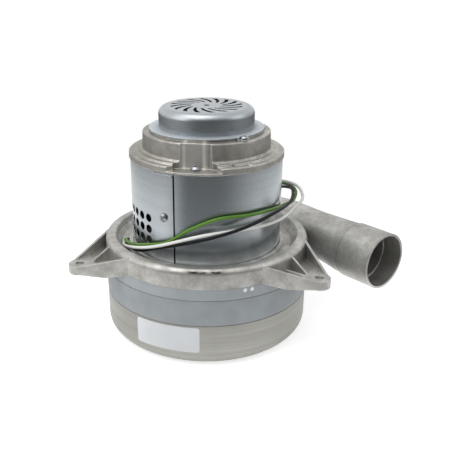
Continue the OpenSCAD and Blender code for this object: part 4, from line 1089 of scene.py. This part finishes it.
@dataclass
class Leads:
    """The three leads, which leave the grommet, loop forward and run round into the ring's channel.

    Attributes:
        radius: The insulation's radius.
        bare: The length of the stripped end.
        strands: How many strands show round a lead's core.
        strand_radius: A strand's radius.
        twist: How far the strands turn over their length, in radians.
    """

    radius: float = 1.35 * MM
    bare: float = 7.0 * MM
    strands: int = 6
    strand_radius: float = 0.27 * MM
    twist: float = 5.0

    def routes(self) -> dict[str, tuple[Slots, list[Point]]]:
        """Returns each lead's finish and the points that part.scad gives it, in millimetres."""
        return {
            "lead_black": (Slots.BLACK, [
                (47, 50, 111.5), (57, 58.5, 110.5), (69.5, 53, 112), (75.5, 37, 117), (79, 19, 120.5),
                (76.5, -2, 119.5), (69.5, -23, 120), (55.5, -47, 121), (34, -67, 117.6), (8, -74.3, 111.2),
                (-17, -71, 103.8), (-39, -60.5, 96), (-56, -46.5, 87.5), (-69, -23.5, 82), (-72, 0, 81.5)]),
            "lead_white": (Slots.WHITE, [
                (46, 51, 115), (56, 60.5, 115.5), (68.5, 55.5, 116.5), (75.5, 40, 121.5), (84.5, 18, 123),
                (86, -1, 118.5), (77, -16, 115.5), (64, -37, 112.9), (44.6, -56.6, 113.4), (18, -68.9, 113.4),
                (-6, -73.2, 110.9), (-38, -64.5, 99.5), (-57, -51, 92), (-72, -28, 84.5), (-74.5, -3, 81.5)]),
            "lead_green": (Slots.GREEN, [
                (44.5, 52, 112), (54, 62.5, 112.5), (70, 58, 114), (79, 38, 118.5), (82, 16, 119.5),
                (77.5, -1, 116.5), (68.5, -12, 116.5), (55.5, -41.5, 123), (35, -60, 124.5), (9, -68.5, 124),
                (-14, -68, 114.5), (-32, -62, 101.5), (-51, -50.5, 94.5), (-65, -36, 89.5), (-74.5, -14, 86)]),
        }

    def insulation(self, name: str, points: Sequence[Vector]) -> bpy.types.Object:
        """Makes a lead's insulation as one smooth open spline.

        A handle is a sixth of the way between a point's neighbours, and a third of it at the two ends.

        Args:
            name: The piece's name.
            points: Its route.

        Returns:
            The piece.
        """
        curve = bpy.data.curves.new(name, "CURVE")
        curve.dimensions = "3D"
        curve.bevel_depth = self.radius
        curve.bevel_resolution = 5
        curve.resolution_u = 10
        curve.use_fill_caps = True
        spline = curve.splines.new("BEZIER")
        last = len(points) - 1
        spline.bezier_points.add(last)
        for i, (knot, point) in enumerate(zip(spline.bezier_points, points)):
            reach = (points[min(i + 1, last)] - points[max(i - 1, 0)]) / (6.0 if 0 < i < last else 3.0)
            knot.co = point
            knot.handle_left_type = knot.handle_right_type = "FREE"
            knot.handle_left = point - reach
            knot.handle_right = point + reach
        return link(name, curve)

    @staticmethod
    def spline_length(points: Sequence[Vector], steps: int = 20) -> float:
        """Measures the smooth line through a route's points.

        Args:
            points: The route.
            steps: How many straight steps stand for the line between two points.

        Returns:
            Its length.
        """
        last = len(points) - 1
        total = 0.0
        for i in range(last):
            a, b, c, d = points[max(i - 1, 0)], points[i], points[i + 1], points[min(i + 2, last)]
            before = b
            for t in (k / steps for k in range(1, steps + 1)):
                here = 0.5 * (2 * b + (c - a) * t + (2 * a - 5 * b + 4 * c - d) * t ** 2
                              + (3 * b - a - 3 * c + d) * t ** 3)
                total += (here - before).length
                before = here
        return total

    def stripped_end(self, name: str, place: Vector, along: Vector) -> bpy.types.Object:
        """Makes a lead's stripped, tinned and twisted strands with Geometry Nodes.

        Args:
            name: The piece's name.
            place: Where the insulation stops.
            along: The lead's direction there, of length 1.

        Returns:
            The piece, as a plain mesh.
        """
        g, given, values = size_tree(name + "_nodes", {
            "Strands": self.strands, "Length": self.bare + self.radius, "Twist": self.twist,
            "Bundle": 2 * self.strand_radius, "Strand": self.strand_radius})
        line = g.add("GeometryNodeCurvePrimitiveLine", {"Start": (0, 0, 0), "End": (0, 0, 1)}).outputs[0]
        line = g.add("GeometryNodeResampleCurve", {"Curve": line, "Count": 16}).outputs[0]
        part = g.add("GeometryNodeSplineParameter").outputs["Factor"]
        angle = g.times(part, given["Twist"])
        spot = g.join(g.times(g.math("COSINE", angle), given["Bundle"]),
                      g.times(g.math("SINE", angle), given["Bundle"]), g.times(part, given["Length"]))
        line = g.add("GeometryNodeSetPosition", {"Geometry": line, "Position": spot}).outputs[0]
        ring = g.add("GeometryNodeCurvePrimitiveCircle", {"Resolution": 8, "Radius": given["Strand"]}).outputs[0]
        strand = g.add("GeometryNodeCurveToMesh", {"Curve": line, "Profile Curve": ring, "Fill Caps": True}).outputs[0]
        ring_of(g, strand, given["Strands"])
        obj = run_tree(name, g.tree, values)
        turned = along.to_track_quat("Z", "Y").to_matrix().to_4x4()
        obj.data.transform(Matrix.Translation(place - along * self.radius) @ turned)
        return obj

    def build(self, paint: Paint) -> None:
        """Args:
            paint: The finishes.
        """
        for node, (finish, route) in self.routes().items():
            points = [Vector(p) * MM for p in route]
            along = (points[-1] - points[-2]).normalized()
            points[-1] = points[-1] - along * self.bare
            piece = paint.piece(self.insulation(node + "_insulation", points), finish, node)
            end = paint.piece(self.stripped_end(node + "_end", points[-1], along), Slots.TINNED)


@dataclass
class FanCase:
    """The three sheet-metal stages, with their impellers and the bare sticker on the inlet can.

    Attributes:
        radius: The can's radius.
        left: The azimuth of the sticker's left edge, in degrees.
        right: The azimuth of its right edge.
        low: The height of its lower edge.
        high: The height of its upper edge.
        corner: The radius of its corners.
        thick: How far it stands off the can.
        sunk: How far its back lies inside the can's face.
        steps: How many flats its middle is bent into.
        crease: The angle, in degrees, above which its edges stay sharp.
    """

    radius: float = 91.5 * MM
    left: float = -129.6
    right: float = -93.6
    low: float = 14.5 * MM
    high: float = 37.5 * MM
    corner: float = 2.2 * MM
    thick: float = 0.14 * MM
    sunk: float = 0.3 * MM
    steps: int = 24
    crease: float = 35.0

    def sticker(self) -> bpy.types.Object:
        """Makes the sticker: a thin closed sheet bent round the can, with rounded corners.

        Returns:
            The piece.
        """
        width = math.radians(self.right - self.left) * self.radius
        bends = [self.corner * (1 - math.cos(math.radians(angle))) for angle in range(0, 91, 10)]
        middle = width - 2 * self.corner
        stops = sorted({*bends, *(width - bend for bend in bends),
                        *(self.corner + middle * i / self.steps for i in range(self.steps + 1))})
        points: list[Point] = []
        for stop in stops:
            angle = math.radians(self.left) + stop / self.radius
            near = max(0.0, self.corner - min(stop, width - stop))
            cut = self.corner - math.sqrt(max(0.0, self.corner ** 2 - near ** 2))
            points += [(reach * math.cos(angle), reach * math.sin(angle), z)
                       for reach in (self.radius + self.thick, self.radius - self.sunk)
                       for z in (self.low + cut, self.high - cut)]
        faces = []
        for a in range(0, 4 * len(stops) - 4, 4):
            b = a + 4
            faces += [(a, b, b + 1, a + 1), (a + 2, a + 3, b + 3, b + 2), (a, a + 2, b + 2, b),
                      (a + 1, b + 1, b + 3, a + 3)]
        last = 4 * len(stops) - 4
        faces += [(0, 1, 3, 2), (last, last + 2, last + 3, last + 1)]
        mesh, bm = start_mesh("bare_sticker", points, faces)
        bmesh.ops.remove_doubles(bm, verts=bm.verts, dist=WELD)
        bmesh.ops.recalc_face_normals(bm, faces=bm.faces)
        return end_mesh(mesh, bm, self.crease)

    def build(self, paint: Paint) -> None:
        """Dresses the case and adds the sticker.

        Args:
            paint: The finishes.
        """
        paint.piece(smooth_copy("inlet_shell", "inlet_can"), Slots.CASE, "inlet_shell")
        for node, finish in (("second_stage_shell", Slots.COATED), ("third_stage_shell", Slots.STAKED)):
            paint.piece(smooth_copy(node, node + "_drawn"), finish, node)
        paint.nodes(Slots.COATED, "return_vanes_1", "return_vanes_2")
        paint.nodes(Slots.IMPELLER, "fan_1", "fan_2", "fan_3")
        paint.nodes(Slots.BRASS, "fan_spacers")
        paint.nodes(Slots.SCREW, "fan_washers", "fan_nut", "shaft")
        paint.piece(self.sticker(), Slots.STICKER)


@dataclass
class DischargeHousing:
    """The casting with the ring, the horn and the three ears, and what sits in its hub.

    Attributes:
        crease: The angle, in degrees, above which the casting's edges stay sharp.
    """

    crease: float = 24.0

    def build(self, paint: Paint) -> None:
        """Dresses the casting and the hub's parts.

        Args:
            paint: The finishes.
        """
        casting = smooth_copy("discharge_housing", "discharge_casting", self.crease)
        paint.piece(casting, Slots.CAST, "discharge_housing")
        paint.nodes(Slots.RUBBER, "shaft_seal")
        paint.nodes(Slots.BEARING, "lower_bearing", "upper_bearing")
        paint.nodes(Slots.COATED, "bearing_retainer")
        paint.nodes(Slots.SCREW, "retainer_screws")


@dataclass
class MotorBody:
    """The wrapped shroud, the end bracket, the armature, the field and the brushes.

    Attributes:
        crease: The angle, in degrees, above which a brush spring's edges stay sharp.
    """

    crease: float = 60.0

    def spring(self, paint: Paint, side: str) -> None:
        """Makes a brush's spring as a smooth copy of its CAD node, in its place.

        Args:
            paint: The finishes.
            side: The brush's side, left or right.
        """
        node, body = f"brush_spring_{side}", f"brush_{side}"
        coil = smooth_copy(node, f"{side}_brush_coil", self.crease)
        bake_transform(coil)
        paint.dress(coil, Slots.SCREW, node)

    def build(self, paint: Paint) -> None:
        """Dresses the motor.

        Args:
            paint: The finishes.
        """
        paint.piece(smooth_copy("motor_shroud", "shroud_wrap"), Slots.SHROUD, "motor_shroud")
        paint.piece(smooth_copy("end_bracket", "bracket_casting"), Slots.BRACKET, "end_bracket")
        for side in ("left", "right"):
            self.spring(paint, side)
        paint.nodes(Slots.SCREW, "shroud_screw", "through_bolts", "brush_screws")
        paint.nodes(Slots.RUBBER, "lead_grommet")
        paint.nodes(Slots.LAMINATION, "armature_core", "field_core")
        paint.nodes(Slots.COPPER, "armature_winding", "field_coil_left", "field_coil_right")
        paint.nodes(Slots.BARS, "commutator")
        paint.nodes(Slots.BRASS, "brush_guide_left", "brush_guide_right")
        paint.nodes(Slots.MOULDED, "brush_holder_left", "brush_holder_right")
        paint.nodes(Slots.CARBON, "carbon_brush_left", "carbon_brush_right")


@dataclass
class FanCover:
    """The pressed cover with its louvres, the cooling fan under it and its screws.

    Attributes:
        count: How many louvres.
        inner: The radius where they start.
        outer: The radius where they end.
        top: The height of the cover's underside.
        sweep: The angle that a louvre sweeps, in degrees.
        phase: The azimuth of the first louvre, in degrees.
        drop: How far a louvre's lower edge hangs.
        bow: How late in its width it starts to hang, where 1 is flat.
        narrow: A louvre's width at its inner end.
        wide: Its width at its outer end.
        sheet: How thick it is.
        flange_top: The height that the flange stays below.
    """

    count: int = 16
    inner: float = 14.0 * MM
    outer: float = 30.5 * MM
    top: float = 200.9 * MM
    sweep: float = 27.0
    phase: float = -129.0
    drop: float = 3.4 * MM
    bow: float = 1.4
    narrow: float = 2.4 * MM
    wide: float = 4.9 * MM
    sheet: float = 0.5 * MM
    flange_top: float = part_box("fan_cover")[0][2] + 3.2 * MM

    def louvres(self) -> bpy.types.Object:
        """Makes the tilted louvres under the slots with Geometry Nodes.

        Returns:
            The piece, as a plain mesh.
        """
        g, given, values = size_tree("louvre_nodes", {
            "Count": self.count, "Inner": self.inner, "Outer": self.outer, "Sweep": math.radians(self.sweep),
            "Phase": math.radians(self.phase), "Top": self.top, "Drop": self.drop, "Bow": self.bow,
            "Narrow": self.narrow, "Wide": self.wide, "Sheet": self.sheet})
        sheet = g.add("GeometryNodeMeshGrid", {"Size X": 1.0, "Size Y": 1.0, "Vertices X": 9, "Vertices Y": 4})
        along, across, _ = g.split(g.add("GeometryNodeInputPosition").outputs[0])
        along = g.math("ADD", along, 0.5)
        reach, width = (g.math("MULTIPLY_ADD", along, g.math("SUBTRACT", given[end], given[start]), given[start])
                        for start, end in (("Inner", "Outer"), ("Narrow", "Wide")))
        angle = g.math("ADD", g.times(along, given["Sweep"]), g.math("DIVIDE", g.times(across, width), reach))
        depth = g.times(given["Drop"], g.math("POWER", g.math("ADD", across, 0.5), given["Bow"]))
        spot = g.join(g.times(reach, g.math("COSINE", angle)), g.times(reach, g.math("SINE", angle)),
                      g.math("SUBTRACT", given["Top"], depth))
        placed = g.add("GeometryNodeSetPosition", {"Geometry": sheet.outputs["Mesh"], "Position": spot}).outputs[0]
        walls = g.add("GeometryNodeExtrudeMesh", {"Mesh": placed, "Offset": (0.0, 0.0, -1.0),
                                                  "Offset Scale": given["Sheet"], "Individual": False}).outputs[0]
        both = g.add("GeometryNodeJoinGeometry")
        under = g.add("GeometryNodeFlipFaces", {"Mesh": placed}).outputs[0]
        g.tree.links.new(walls, both.inputs[0])
        g.tree.links.new(under, both.inputs[0])
        whole = g.add("GeometryNodeMergeByDistance", {"Geometry": both.outputs[0], "Distance": WELD}).outputs[0]
        ring_of(g, whole, given["Count"], given["Phase"])
        return run_tree("cover_louvres", g.tree, values)

    def build(self, paint: Paint) -> None:
        """Dresses the cover and hangs its louvres.

        Args:
            paint: The finishes.
        """
        cover = paint.piece(smooth_copy("fan_cover", "pressed_cover"), Slots.COVER, "fan_cover")
        cover.data.materials.append(paint.get(Slots.FLANGE))
        for face in cover.data.polygons:
            face.material_index = int(face.center.z < self.flange_top)
        paint.piece(self.louvres(), Slots.LOUVRE)
        paint.nodes(Slots.SCREW, "cover_screws", "cooling_fan_nut")
        paint.nodes(Slots.IMPELLER, "cooling_fan")


def main() -> None:
    """Builds the studio and every sub-assembly in order."""
    logging.basicConfig(level=logging.INFO, format="%(message)s")
    paint = Paint()
    Studio().build()
    for part in (Leads(), FanCase(), DischargeHousing(), MotorBody(), FanCover()):
        part.build(paint)
        LOG.info("%s done", type(part).__name__)


if __name__ == "__main__":
    main()
